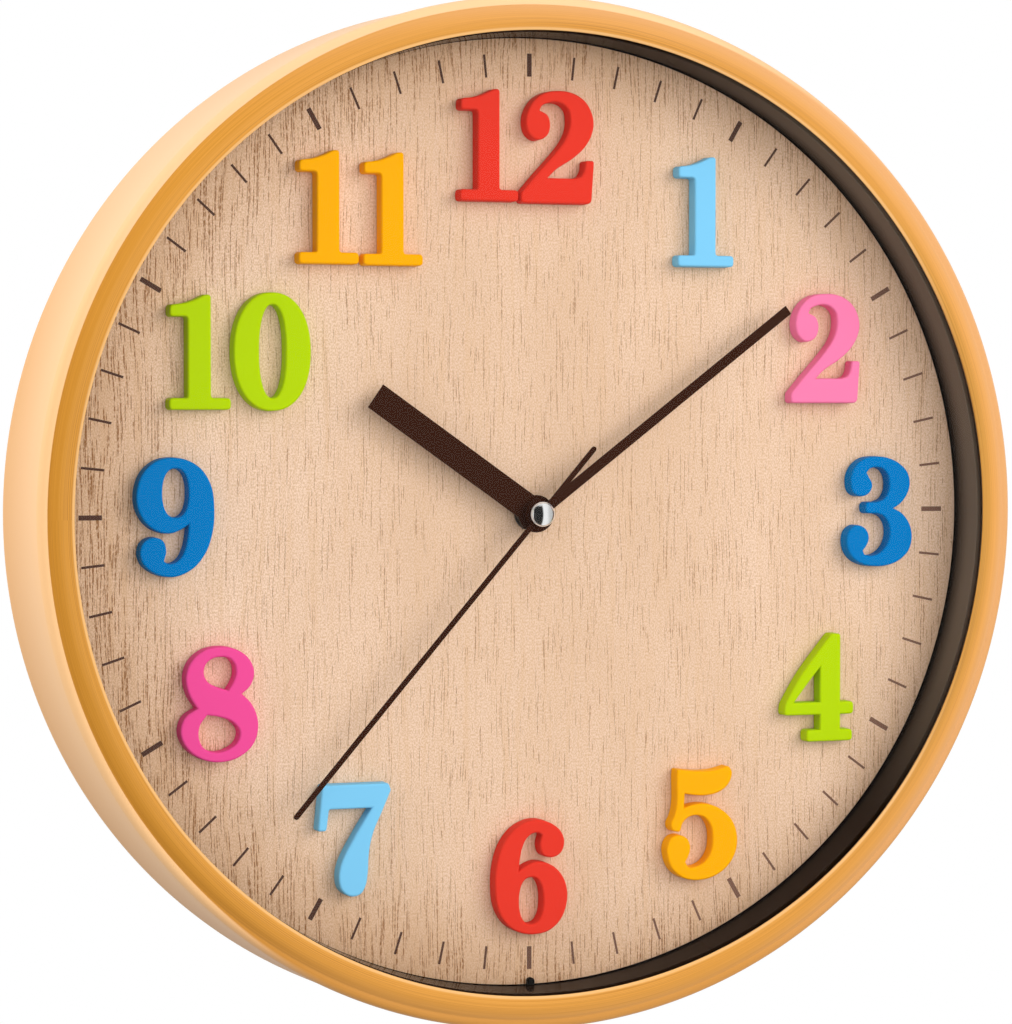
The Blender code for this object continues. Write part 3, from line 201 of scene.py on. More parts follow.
def turned(name, profile, material, steps, crease):
    """A closed profile of (radius, level) points turned about the dial's axis:
    x = radius cos t, z = axis height + radius sin t, y = -level."""
    profile = np.array(profile)
    turn = np.linspace(0.0, 2 * np.pi, steps, endpoint=False)
    points = np.stack([
        profile[:, 0][None] * np.cos(turn)[:, None],
        np.broadcast_to(-profile[:, 1][None], (steps, len(profile))),
        profile[:, 0][None] * np.sin(turn)[:, None] + AXIS_HEIGHT,
    ], 2).reshape(-1, 3)
    count = len(profile)
    row, col = np.meshgrid(np.arange(steps), np.arange(count), indexing="ij")
    here = row * count + col
    right = row * count + (col + 1) % count
    over = ((row + 1) % steps) * count + col
    over_right = ((row + 1) % steps) * count + (col + 1) % count
    faces = np.stack([here, over, over_right, right], 2).reshape(-1, 4)
    made = as_object(name, points, faces.tolist(), material)
    made.data.set_sharp_from_angle(angle=np.radians(crease))
    return made


def arc(centre, radius, start, end, steps):
    """Points of a circle's arc in the profile plane, angles in degrees."""
    turn = np.radians(np.linspace(start, end, steps))
    return [(centre[0] + radius * np.cos(t), centre[1] + radius * np.sin(t)) for t in turn]


def swelling(start, end, swell, steps):
    """A shallow arc from start to end, points between the ends, bulging by swell to the right of the way:
    start + way s + side 4 swell s (1 - s), with s from 0 to 1."""
    start, end = np.array(start), np.array(end)
    along = np.linspace(0, 1, steps + 2)[1:-1, None]
    way = end - start
    side = np.array([way[1], -way[0]]) / np.hypot(*way)
    return [tuple(p) for p in start + way * along + side * 4 * swell * along * (1 - along)]


def offset_outline(points, inset):
    """Moves a closed outline towards the side on its left by inset, mitred at corners within a limit."""
    before, after = np.roll(points, 1, 0), np.roll(points, -1, 0)
    coming, going = points - before, after - points
    coming /= np.linalg.norm(coming, axis=1)[:, None] + 1e-12
    going /= np.linalg.norm(going, axis=1)[:, None] + 1e-12
    left_a = np.stack([-coming[:, 1], coming[:, 0]], 1)
    left_b = np.stack([-going[:, 1], going[:, 0]], 1)
    middle = left_a + left_b
    middle /= np.linalg.norm(middle, axis=1)[:, None] + 1e-12
    reach = 1.0 / np.clip((middle * left_a).sum(1), 0.6, 1.0)
    return points + middle * (inset * reach)[:, None]


def area(points):
    """Signed area of a closed outline, positive where it runs anticlockwise."""
    x, z = points[:, 0], points[:, 1]
    return 0.5 * np.sum(x * np.roll(z, -1) - np.roll(x, -1) * z)


def cap_faces(points, rings, upper):
    """Triangles that close an outline and its openings, facing forward where upper."""
    index_of = [i for ring in rings for i in ring]
    outlines = [[Vector((points[i][0], points[i][2], 0.0)) for i in ring] for ring in rings]
    faces = []
    for triangle in tessellate_polygon(outlines):
        a, b, c = (index_of[i] for i in triangle)
        across = ((points[b][0] - points[a][0]) * (points[c][2] - points[a][2])
                  - (points[c][0] - points[a][0]) * (points[b][2] - points[a][2]))
        if abs(across) < 1e-16:
            continue
        if (across > 0) != upper:
            b, c = c, b
        faces.append((a, b, c))
    return faces


def raised(name, outlines, profile, material, crease=35.0):
    """A raised form: each outline is swept up a profile of (inset, level) steps, and the first and last
    steps are closed with flat faces. Outlines are in metres on the dial plane, (x, z), the outer one first."""
    points, faces, bottoms, tops = [], [], [], []
    for index, outline in enumerate(outlines):
        loop = np.array(outline)
        if (area(loop) > 0) != (index == 0):
            loop = loop[::-1]
        start, count = len(points), len(loop)
        for inset, level in profile:
            points += [(x, -level, z) for x, z in offset_outline(loop, inset)]
        for step in range(len(profile) - 1):
            a, b = start + step * count, start + (step + 1) * count
            for i in range(count):
                j = (i + 1) % count
                faces.append((a + i, a + j, b + j, b + i))
        bottoms.append(list(range(start, start + count)))
        tops.append(list(range(len(points) - count, len(points))))
    faces += cap_faces(points, bottoms, False) + cap_faces(points, tops, True)
    made = as_object(name, points, faces, material)
    mesh = made.data
    mesh.set_sharp_from_angle(angle=np.radians(crease))
    rim = set()
    for ring in bottoms + tops:
        rim.update(frozenset((ring[i - 1], ring[i])) for i in range(len(ring)))
    if "sharp_edge" not in mesh.attributes:
        mesh.attributes.new("sharp_edge", "BOOLEAN", "EDGE")
    marks = mesh.attributes["sharp_edge"].data
    for edge in mesh.edges:
        if frozenset(edge.vertices) in rim:
            marks[edge.index].value = True
    return made


# Camera, solved from the photo's dial circle, minute marks and rear rim
FOCAL_LENGTH_PIXELS = 3382.0
IMAGE_HEIGHT_PIXELS = 1024.0
SENSOR_HEIGHT = 24.0
camera = bpy.data.objects.new("camera", bpy.data.cameras.new("camera"))
bpy.context.scene.collection.objects.link(camera)
bpy.context.scene.camera = camera
camera.data.sensor_fit = "VERTICAL"
camera.data.sensor_height = SENSOR_HEIGHT
camera.data.lens = SENSOR_HEIGHT * FOCAL_LENGTH_PIXELS / IMAGE_HEIGHT_PIXELS
camera.location = (-0.3425, -DIAL_LEVEL - 0.9439, AXIS_HEIGHT + 0.03105)
look_at = Vector((-0.00732, -DIAL_LEVEL, AXIS_HEIGHT + 0.00041))
camera.rotation_euler = (look_at - camera.location).to_track_quat("-Z", "Y").to_euler()

# Studio. Seen by the camera it is plain white, and on matt surfaces an even soft light. Mirrored, it is white
# behind the clock and dim in front, with pale parts above, to the right and at the far left.
AMBIENT = 0.46
scene = bpy.context.scene
scene.view_settings.view_transform = "Standard"
world = bpy.data.worlds.new("studio")
scene.world = world
world.use_nodes = True
studio = Nodes(world.node_tree)
way = studio.node("ShaderNodeSeparateXYZ")
studio.put(way.inputs[0], studio.node("ShaderNodeTexCoord").outputs["Generated"])
way_x, way_y, way_z = way.outputs
above = studio.times(studio.span(way_z, 0.75, 0.96, 0.02, 0.9), studio.span(way_y, -0.75, -0.45))
right_glow = studio.times(studio.span(way_x, 0.02, 0.22, 0.0, 0.95), studio.span(way_x, 0.50, 0.95, 1.0, 0.6))
left_glow = studio.span(way_x, -0.80, -0.92, 0.0, 0.8)
behind = studio.times(studio.span(way_y, -0.25, 0.10), studio.span(way_z, -0.5, 0.1, 0.7, 1.0))
mirrored = 0.02
for glow in (above, right_glow, left_glow, behind):
    mirrored = studio.larger(glow, mirrored)
paths = studio.node("ShaderNodeLightPath").outputs
strength = studio.weighted(paths["Is Glossy Ray"], studio.minus(mirrored, AMBIENT), AMBIENT)
seen = studio.larger(paths["Is Camera Ray"], paths["Is Transmission Ray"])
sky_light = studio.node("ShaderNodeBackground")
sky_light.inputs["Color"].default_value = (1.0, 1.0, 1.0, 1.0)
studio.put(sky_light.inputs["Strength"], studio.larger(strength, seen))
studio.put(studio.node("ShaderNodeOutputWorld").inputs["Surface"], sky_light.outputs[0])


def softbox(name, place, size, power):
    """A rectangular lamp facing the dial. Mirrors don't show it: their images come from the world alone."""
    lamp = bpy.data.lights.new(name, "AREA")
    lamp.shape = "RECTANGLE"
    lamp.size, lamp.size_y = size
    lamp.energy = power
    made = bpy.data.objects.new(name, lamp)
    made.location = place
    made.visible_glossy = False
    dial_centre = Vector((0.0, -DIAL_LEVEL, AXIS_HEIGHT))
    made.rotation_euler = (dial_centre - Vector(place)).to_track_quat("-Z", "Y").to_euler()
    bpy.context.scene.collection.objects.link(made)


softbox("key_softbox", (0.92, -1.00, AXIS_HEIGHT + 0.52), (0.9, 1.0), 11.8)
softbox("left_softbox", (-1.25, 0.10, AXIS_HEIGHT + 0.70), (1.4, 1.0), 17.0)
softbox("front_softbox", (0.05, -1.5, AXIS_HEIGHT + 0.05), (1.2, 1.0), 9.8)

# Case ring. Its paint shows fine turned lines on the bezel and a darker scored band near the lens. Painted shade
# dulls the left and the inner right of the bezel, painted light makes the right lighter, and the side wall
# lightens towards the front with painted light.
case_look = Graph("wood_tone_case")
rx, ry, rz = case_look.place()
up = case_look.minus(rz, AXIS_HEIGHT)
down = case_look.times(up, -1.0)
radius = case_look.length(rx, up)
turn = case_look.math("ARCTAN2", up, rx)
level = case_look.times(ry, -1.0)


def concentric(per_metre, per_radian, shift, detail, roughness=0.5):
    """Noise that is close set outwards and drawn out around the axis."""
    spot = case_look.vector(case_look.times(radius, per_metre), case_look.times(turn, per_radian), shift)
    return case_look.noise(spot, detail=detail, roughness=roughness)


lines = case_look.plus(case_look.times(concentric(5200.0, 1.6, 0.0, 3.0, 0.6), 0.75),
                       case_look.times(concentric(900.0, 2.5, 3.0, 2.0), 0.25))
lines = case_look.times(case_look.span(lines, 0.35, 0.65, smooth=False),
                        case_look.span(radius, BEZEL_OUTER + 0.0002, BEZEL_OUTER - 0.0002))
case_colour = case_look.mix(lines, (0.60, 0.250, 0.022), (0.71, 0.315, 0.046))
scored = case_look.times(case_look.span(concentric(6400.0, 1.1, 9.0, 1.0), 0.55, 0.66),
                         case_look.span(radius, 0.1456, 0.1428, 0.25, 0.8))
case_colour = case_look.mix(scored, case_colour, (0.40, 0.160, 0.020))

# Painted shade: the left of the bezel darker and more saturated, most at its outer edge and lower down.
left_shade = case_look.times(case_look.span(rx, -0.04, -0.14), case_look.span(up, 0.12, 0.02, 0.2, 1.0))
left_shade_tint = case_look.mix(case_look.span(radius, 0.1478, 0.1435), (0.86, 0.82, 0.55), (0.92, 0.93, 0.90))
case_colour = case_look.tinted(left_shade, case_colour, left_shade_tint)
# Painted shade: the inner part of the bezel darker at the right.
inner_right_shade = case_look.times(case_look.span(radius, 0.1450, 0.1418), case_look.span(rx, 0.10, 0.14))
case_colour = case_look.tinted(inner_right_shade, case_colour, (0.84, 0.88, 0.85))
bottom_side = case_look.span(case_look.weighted(rx, 0.5, down), 0.04, 0.12)
# Painted light: the bezel lighter towards the right and upper right, a little at the bottom, most at its outer
# part.
pale_light = case_look.larger(case_look.span(case_look.weighted(up, 0.5, rx), -0.06, 0.09),
                         case_look.times(bottom_side, 0.3))
pale_light = case_look.times(pale_light, case_look.span(radius, 0.1425, 0.1490, 0.10, 0.75))
case_colour = case_look.mix(pale_light, case_colour, (0.72, 0.37, 0.155))

# Side wall: pale with painted light, lighter towards the front and the top; painted shade makes it darker and
# more saturated at the right and the bottom.
right_side = case_look.larger(case_look.span(case_look.weighted(up, -0.3, rx), -0.02, 0.10), bottom_side)
side_light_and_shade = case_look.mix(case_look.span(level, 0.004, 0.0405, smooth=False),
                            (0.75, 0.38, 0.120), (0.905, 0.535, 0.248))
side_light_and_shade = case_look.mix(case_look.span(up, 0.03, 0.12, 0.0, 0.6), side_light_and_shade, (0.90, 0.57, 0.31))
side_light_and_shade = case_look.mix(right_side, side_light_and_shade,
                            case_look.mix(bottom_side, (0.74, 0.40, 0.18), (0.66, 0.295, 0.055)))
side_share = case_look.span(radius, case_look.weighted(right_side, 0.0009, BEZEL_OUTER),
                            case_look.weighted(right_side, 0.0028, BEZEL_OUTER + 0.0002))
case_colour = case_look.mix(side_share, case_colour, side_light_and_shade)

# Painted highlight: a pale line along the bezel's inner edge, all round but the right.
inner_edge_highlight = case_look.times(case_look.span(radius, BEZEL_INNER + 0.0008, BEZEL_INNER + 0.0002, 0.0, 0.6),
                             case_look.span(rx, 0.137, 0.110))
case_colour = case_look.mix(inner_edge_highlight, case_colour, (0.92, 0.56, 0.24))
# Painted shadow: the bezel's inner lip black, as the dark gap between lens and bezel.
inner_lip_shadow = case_look.times(
    case_look.span(radius, BEZEL_INNER + 0.0004, BEZEL_INNER + 0.0003, smooth=False),
    case_look.span(ry, -0.0437, -0.0436, smooth=False))
case_colour = case_look.mix(inner_lip_shadow, case_colour, (0.008, 0.006, 0.005))
case_material = case_look.surface(
    Base_Color=case_colour, Roughness=0.42, Specular_IOR_Level=0.38,
    Normal=case_look.bump(lines, 0.35, 0.00003))

case_profile = [(0.1503, 0.0), (REAR_RIM - 0.0003, 0.0), (REAR_RIM, 0.0003), (0.1522, 0.0100),
                (0.15175, 0.0205), (0.1513, 0.0320), SHOULDER]
case_profile += swelling(SHOULDER, (BEZEL_OUTER, BEZEL_LEVEL), 0.0008, 9)
case_profile += [(BEZEL_OUTER, BEZEL_LEVEL), (BEZEL_OUTER - 0.00015, BEZEL_LEVEL)]
case_profile += swelling((BEZEL_OUTER - 0.00015, BEZEL_LEVEL), (BEZEL_INNER, 0.0441), 0.0010, 14)
case_profile += arc((BEZEL_INNER, 0.0438), 0.0003, 90, 180, 5)
case_profile += [(BEZEL_INNER, 0.0425), (0.1446, 0.0425), (0.1446, 0.0380), (0.1458, 0.0380),
                 (0.1458, 0.0410), (0.1483, 0.0410)]
case_ring = turned("case_ring_shell", case_profile, case_material, steps=480, crease=40.0)
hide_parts("case_ring")
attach(case_ring, "clock_case")

# Liner: black painted shade next to the dial, then dark brown, glossy enough to mirror the dial at a flat angle,
# with a painted reflection of the lit dial on the far wall
CORNER_SHADE_END, BROWN_START = -0.0278, -0.0300
liner_look = Graph("dark_liner")
lx, ly, lz = liner_look.place()
flecks = liner_look.span(liner_look.noise(liner_look.spot(), scale=900.0, detail=1.0), 0.77, 0.80)
# Painted reflection of the lit dial: the far wall lighter at the upper right, towards the front.
towards_upper_right = liner_look.weighted(liner_look.minus(lz, AXIS_HEIGHT), 0.35, lx)
far_wall_reflection = liner_look.times(liner_look.span(towards_upper_right, 0.07, 0.14),
                            liner_look.span(ly, -0.026, -0.037))
# Painted shade: black in the corner next to the dial, where the wall also stops mirroring.
liner_colour = liner_look.mix(liner_look.span(ly, CORNER_SHADE_END, BROWN_START), srgb(9, 5, 3), srgb(38, 25, 15))
liner_colour = liner_look.mix(far_wall_reflection, liner_colour, srgb(112, 98, 84))
liner_material = liner_look.surface(
    Base_Color=liner_look.mix(flecks, liner_colour, srgb(110, 100, 90)), Roughness=0.06,
    IOR=liner_look.span(ly, CORNER_SHADE_END, BROWN_START, 1.001, 1.06))
liner_profile = [(0.1404, 0.0260), (0.1408, 0.0402), (0.1410, 0.0404), (0.1422, 0.0404), (0.1424, 0.0402),
                 (0.1424, 0.0272), (0.1438, 0.0272), (0.1438, 0.0260)]
liner = turned("liner_shell", liner_profile, liner_material, steps=480, crease=40.0)
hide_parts("liner_ring")
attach(liner, "clock_case")

# The liner's locating key: a half round end and two straight sides running into the liner
KEY_HALF_WIDTH = 0.00105
key_turn = np.linspace(0, np.pi, 13)
key_outline = np.stack([KEY_HALF_WIDTH * np.cos(key_turn),
                        AXIS_HEIGHT - 0.1394 + KEY_HALF_WIDTH * np.sin(key_turn)], 1).tolist()
key_outline += [(-KEY_HALF_WIDTH, AXIS_HEIGHT - 0.1409), (KEY_HALF_WIDTH, AXIS_HEIGHT - 0.1409)]
key = raised("liner_key", [key_outline], [(0.0, 0.0261), (0.0, 0.0276), (0.0002, 0.0279)],
             plain("key_black", srgb(12, 9, 7), 0.5, specular=0.1))
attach(key, "clock_case")

# Lens: clear, with a faint mirror image on its outward faces
MIRRORED_SHARE = 0.22
lens_look = Graph("clear_lens")
clear = lens_look.node("ShaderNodeBsdfTransparent")
clear.inputs["Color"].default_value = (0.985, 0.985, 0.985, 1.0)
gloss = lens_look.node("ShaderNodeBsdfGlossy")
gloss.inputs["Roughness"].default_value = 0.02
edge_on = lens_look.node("ShaderNodeFresnel")
edge_on.inputs["IOR"].default_value = 1.49
outward = lens_look.minus(1.0, lens_look.node("ShaderNodeNewGeometry").outputs["Backfacing"])
both = lens_look.node("ShaderNodeMixShader")
lens_look.put(both.inputs[0], lens_look.times(lens_look.times(edge_on.outputs[0], MIRRORED_SHARE), outward))
lens_look.put(both.inputs[1], clear.outputs[0])
lens_look.put(both.inputs[2], gloss.outputs[0])
lens_look.tree.links.new(both.outputs[0], lens_look.output.inputs["Surface"])

# Dial: printed wood grain running up and down, with more and darker pores towards the rim, painted shade
# darkening the wood towards the rim and painted light in bands to the left and right of the centre
wood = Graph("printed_wood_dial")
wx, wy, wz = wood.place()


def grain(x, across, along, shift, detail=2.0):
    """Noise whose features are about across metres wide and along metres high."""
    spot = wood.vector(wood.times(x, 1.0 / across), shift, wood.times(wz, 1.0 / along))
    return wood.noise(spot, detail=detail)


grain_x = wood.weighted(wood.minus(grain(wx, 0.020, 0.060, 7.0), 0.5), 0.006, wx)
bands = grain(grain_x, 0.0060, 0.0500, 3.0)
# Towards the rim, most on the left: more pores, and a painted shade that darkens the wood.
rim = wood.span(wood.length(wood.minus(wx, 0.012), wood.minus(wz, AXIS_HEIGHT)), 0.112, 0.152)
pore = 0.0
for across, along, shift in ((0.00084, 0.0520, 0.0), (0.00076, 0.0300, 3.7), (0.00070, 0.0140, 8.2)):
    cells = wood.node("ShaderNodeTexVoronoi", voronoi_dimensions="2D", feature="F1")
    cells.inputs["Scale"].default_value = 1.0
    wood.put(cells.inputs["Vector"], wood.vector(wood.weighted(grain_x, 1.0 / across, shift),
                                                 wood.weighted(wz, 1.0 / along, shift), 0.0))
    chance = wood.node("ShaderNodeSeparateColor")
    wood.put(chance.inputs[0], cells.outputs["Color"])
    likely = wood.weighted(wood.plus(bands, rim), 0.45, chance.outputs[0])
    size = wood.span(likely, 0.70, 1.45, 0.05, 0.27, smooth=False)
    pore = wood.larger(wood.span(wood.minus(size, cells.outputs["Distance"]), 0.0, 0.03), pore)
pore = wood.times(pore, wood.span(grain(grain_x, 0.0006, 0.0014, 27.0, detail=1.0), 0.38, 0.56, 0.25, 1.0))
streaks = grain(grain_x, 0.0016, 0.0500, 11.0)
clouds = grain(wx, 0.0400, 0.0700, 19.0)
specks = grain(wx, 0.00036, 0.00060, 43.0, detail=1.0)
# Painted light: lighter bands to the left and right of the centre.
beside_light = wood.weighted(wood.span(wx, 0.035, 0.085), 0.45, wood.span(wx, -0.030, -0.070))
base = wood.mix(wood.weighted(beside_light, 0.50, wood.span(clouds, 0.3, 0.7, 0.0, 0.50)),
                srgb(227, 194, 166), srgb(247, 217, 193))
base = wood.mix(wood.span(streaks, 0.40, 0.80, 0.0, 0.55), base, srgb(226, 188, 150))
base = wood.mix(wood.span(specks, 0.35, 0.65, 0.0, 0.75), base, srgb(210, 169, 131))
# Painted shade: the wood darker towards the rim.
base = wood.tinted(rim, base, (0.84, 0.76, 0.66))
dial_colour = wood.mix(wood.times(pore, wood.weighted(rim, 0.38, 0.62)), base, srgb(144, 96, 52))
wood_material = wood.surface(Base_Color=dial_colour, Roughness=0.6, Specular_IOR_Level=0.3)

# Printed minute marks: one flat strip each, from radius MARK_START to MARK_END along the minute's direction
MARK_START, MARK_END = 0.1292, 0.1360
MARK_LEVEL = DIAL_LEVEL + 0.00004
FIVE_MINUTE_HALF_WIDTH, MINUTE_HALF_WIDTH = 0.00072, 0.00036
mark_points, mark_faces = [], []
for minute in range(60):
    angle = np.radians(6.0 * minute)
    outwards = np.array([np.sin(angle), np.cos(angle)])
    sideways = np.array([np.cos(angle), -np.sin(angle)])
    half = MINUTE_HALF_WIDTH if minute % 5 else FIVE_MINUTE_HALF_WIDTH
    first = len(mark_points)
    for reach, across in ((MARK_START, -half), (MARK_START, half), (MARK_END, half), (MARK_END, -half)):
        x, z = outwards * reach + sideways * across
        mark_points.append((x, -MARK_LEVEL, z + AXIS_HEIGHT))
    mark_faces.append((first, first + 1, first + 2, first + 3))
mark_look = Graph("printed_mark_brown")
mark_x, _, mark_z = mark_look.place()
# The marks get lighter towards the lower right.
mark_lightening = mark_look.weighted(mark_look.minus(mark_z, AXIS_HEIGHT), -0.5, mark_x)
mark_colour = mark_look.mix(mark_look.span(mark_lightening, 0.0, 0.12), srgb(78, 50, 38), srgb(124, 90, 74))
mark_material = mark_look.surface(Base_Color=mark_colour, Roughness=0.6, Specular_IOR_Level=0.3)
marks = as_object("dial_minute_marks", mark_points, mark_faces, mark_material, smooth=False)
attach(marks, "clock_case")

# Numeral outlines in millimetres. The third number is the reach of a rounded corner, and a zero there marks
# a point that a smooth curve runs through.
ONE = [
    (-5.45, 0.0, 0.8), (12.05, 0.0, 0.8), (12.05, 2.65, 0.8), (6.2, 2.65, 1.3), (6.2, 32.2, 0.6),
    (4.7, 32.15, 0.5), (2.35, 30.95, 0), (-0.65, 29.85, 0), (-5.25, 29.15, 0.7), (-5.25, 26.6, 0.7),
    (0.0, 26.6, 1.4), (0.0, 2.65, 1.1), (-5.45, 2.65, 0.8)]
SIX = [
    (-4.25, 1.4, 0.2), (-1.65, 3.1, 0), (1.45, 4.2, 0), (5.0, 3.7, 0), (8.95, 0.8, 0), (11.05, -4.2, 0),
    (10.85, -8.5, 0), (8.95, -12.9, 0), (5.65, -15.7, 0), (1.0, -16.7, 0), (-3.7, -15.9, 0),
    (-7.4, -13.5, 0), (-10.1, -9.2, 0), (-11.1, -2.7, 0), (-10.65, 4.0, 0), (-8.5, 10.2, 0),
    (-4.8, 14.5, 0), (1.0, 16.7, 0), (6.45, 15.4, 0), (9.25, 13.0, 0), (10.15, 10.1, 0), (9.1, 7.2, 0),
    (6.3, 6.0, 0), (3.9, 6.9, 0), (3.05, 9.4, 0), (3.75, 12.7, 0.5), (2.3, 13.5, 0), (0.5, 13.4, 0),
    (-1.45, 12.1, 0), (-3.05, 9.2, 0), (-3.8, 6.0, 0)]
TWO = [
    (-3.9, 92.0, 0.8), (17.7, 92.0, 1.2), (18.5, 104.1, 0.4), (16.4, 104.1, 0.4), (15.9, 101.2, 0),
    (14.7, 99.4, 0), (12.9, 98.75, 0.3), (3.35, 98.75, 0.2), (6.2, 101.6, 0), (12.2, 105.5, 0),
    (15.6, 108.6, 0), (17.6, 111.8, 0), (18.4, 115.2, 0), (17.8, 118.5, 0), (16.1, 121.4, 0),
    (13.2, 123.5, 0), (10.2, 124.4, 0), (7.0, 124.5, 0), (3.5, 123.9, 0), (0.3, 121.9, 0),
    (-1.7, 118.9, 0), (-2.4, 115.1, 0), (-1.5, 112.2, 0), (0.9, 110.6, 0), (3.6, 111.7, 0),
    (4.65, 114.6, 0), (3.9, 117.3, 0), (1.2, 118.8, 0.5), (2.0, 120.4, 0), (4.1, 121.5, 0),
    (6.6, 121.9, 0), (9.1, 121.2, 0), (10.95, 119.3, 0), (11.5, 116.5, 0), (11.1, 113.3, 0),
    (9.7, 110.1, 0), (6.9, 106.5, 0), (0.3, 99.25, 0), (-3.9, 94.4, 0.6)]
THREE = [
    (111.4, 16.0, 0), (115.5, 15.6, 0), (119.3, 13.9, 0), (122.0, 11.2, 0), (122.75, 7.9, 0),
    (121.8, 4.8, 0), (119.75, 2.2, 0), (116.8, 0.4, 0.2), (120.2, -1.4, 0), (122.6, -4.4, 0),
    (123.5, -8.3, 0), (122.5, -12.3, 0), (119.5, -15.2, 0), (115.6, -16.7, 0), (111.4, -17.0, 0),
    (107.5, -16.4, 0), (104.1, -14.5, 0), (102.4, -11.9, 0), (102.0, -9.2, 0), (102.7, -6.6, 0),
    (105.5, -5.0, 0), (108.1, -6.3, 0), (108.9, -8.75, 0), (107.9, -11.1, 0), (106.8, -12.4, 0.4),
    (107.5, -13.8, 0), (109.3, -14.4, 0), (111.5, -14.2, 0), (113.9, -12.9, 0), (116.0, -10.0, 0),
    (116.6, -7.1, 0), (116.0, -3.9, 0), (114.3, -1.7, 0), (111.9, -0.75, 0.3), (108.3, -0.75, 1.1),
    (108.3, 2.0, 1.1), (111.9, 2.0, 0.3), (114.3, 2.9, 0), (116.0, 5.3, 0), (116.4, 8.3, 0),
    (115.5, 11.4, 0), (113.5, 13.1, 0), (111.2, 13.4, 0), (109.2, 12.8, 0), (108.0, 11.5, 0.4),
    (108.9, 9.9, 0), (110.0, 7.5, 0), (109.1, 5.5, 0), (106.4, 4.5, 0), (104.1, 5.6, 0),
    (103.3, 8.2, 0), (103.5, 10.6, 0), (104.9, 13.3, 0), (107.6, 15.3, 0)]
FOUR = [
    (88.7, -70.3, 0.8), (103.4, -70.3, 0.9), (103.4, -67.4, 0.9), (99.4, -67.4, 0.5), (99.4, -62.1, 0.2),
    (103.8, -62.1, 0.9), (103.8, -58.95, 0.9), (99.4, -58.95, 0.2), (99.4, -38.1, 0.5), (96.8, -38.1, 0.3),
    (91.4, -44.5, 0), (86.4, -51.0, 0), (81.4, -59.2, 1.0), (81.2, -62.1, 1.0), (93.2, -62.1, 0.2),
    (93.2, -67.4, 0.5), (88.7, -67.4, 0.8)]
FOUR_OPENING = [
    (93.2, -58.95, 0.15), (93.2, -47.1, 0.15), (90.3, -50.5, 0), (86.6, -55.0, 0), (83.5, -58.95, 0.15)]
FIVE = [
    (46.0, -77.9, 0.3), (49.6, -78.4, 0), (53.75, -78.75, 0), (58.3, -78.45, 0), (62.6, -77.4, 0.6),
    (63.4, -78.9, 0), (63.1, -80.8, 0), (61.5, -83.2, 0), (58.75, -84.75, 0), (55.2, -85.4, 0),
    (51.5, -85.2, 0), (48.0, -84.6, 0.2), (47.75, -89.6, 0.2), (51.7, -88.6, 0), (55.8, -88.7, 0),
    (60.0, -90.4, 0), (63.6, -93.9, 0), (65.2, -98.8, 0), (64.4, -103.8, 0), (61.7, -107.6, 0),
    (57.9, -110.0, 0), (52.9, -111.0, 0), (47.9, -110.1, 0), (44.5, -107.4, 0), (43.0, -103.9, 0),
    (42.9, -100.6, 0), (44.1, -98.5, 0), (46.2, -97.8, 0), (48.8, -98.8, 0), (49.8, -101.2, 0),
    (49.3, -103.6, 0), (48.1, -105.7, 0.5), (49.4, -107.5, 0), (51.7, -107.6, 0), (54.6, -106.4, 0),
    (57.0, -103.3, 0), (57.7, -99.0, 0), (57.1, -95.0, 0), (55.0, -92.2, 0), (51.7, -91.3, 0),
    (48.75, -92.2, 0), (47.2, -94.0, 0), (46.5, -96.3, 0.7), (44.5, -95.6, 0), (44.0, -94.2, 0),
    (45.0, -92.0, 0)]
SEVEN = [
    (-66.5, -91.3, 0.5), (-64.5, -91.3, 0.5), (-63.7, -85.0, 1.0), (-49.8, -85.0, 0.2), (-53.3, -90.3, 0),
    (-55.7, -94.2, 0), (-57.9, -98.0, 0), (-59.6, -101.8, 0), (-60.2, -105.3, 0), (-59.3, -109.0, 0),
    (-56.6, -110.7, 0), (-54.0, -110.1, 0), (-52.6, -107.8, 0), (-52.0, -104.5, 0), (-51.7, -99.7, 0),
    (-51.2, -95.9, 0), (-50.0, -91.7, 0), (-47.9, -87.1, 0), (-44.9, -80.3, 0.3), (-45.5, -78.6, 0.5),
    (-65.2, -78.6, 0.5)]
EIGHT = [
    (-95.6, -37.6, 0), (-91.2, -38.4, 0), (-87.6, -41.0, 0), (-86.1, -44.6, 0), (-87.1, -48.3, 0),
    (-89.9, -50.9, 0.2), (-86.8, -54.1, 0), (-84.9, -60.2, 0), (-86.3, -65.3, 0), (-90.2, -68.7, 0),
    (-96.0, -70.1, 0), (-101.6, -68.9, 0), (-105.6, -65.8, 0), (-107.3, -61.6, 0), (-106.3, -57.9, 0),
    (-102.2, -54.9, 0.2), (-104.7, -50.8, 0), (-105.7, -46.0, 0), (-104.6, -42.2, 0), (-101.0, -38.8, 0)]
EIGHT_UPPER = [
    (-95.8, -39.8, 0), (-93.0, -40.3, 0), (-91.3, -42.2, 0), (-90.9, -45.1, 0), (-91.9, -48.0, 0),
    (-93.4, -50.2, 0.3), (-97.1, -49.0, 0), (-99.8, -47.4, 0), (-101.0, -44.7, 0), (-100.2, -41.8, 0),
    (-98.3, -40.3, 0)]
EIGHT_LOWER = [
    (-99.9, -56.4, 0.4), (-96.25, -57.0, 0), (-92.0, -58.7, 0), (-89.8, -61.7, 0), (-90.5, -64.9, 0),
    (-93.3, -67.1, 0), (-97.1, -67.9, 0), (-100.9, -66.5, 0), (-102.5, -63.2, 0), (-102.1, -59.5, 0)]
CURVE_STEPS = 7
CORNER_STEPS = 5
OVAL_STEPS = 96


def unit(vector):
    return vector / (np.linalg.norm(vector) + 1e-12)


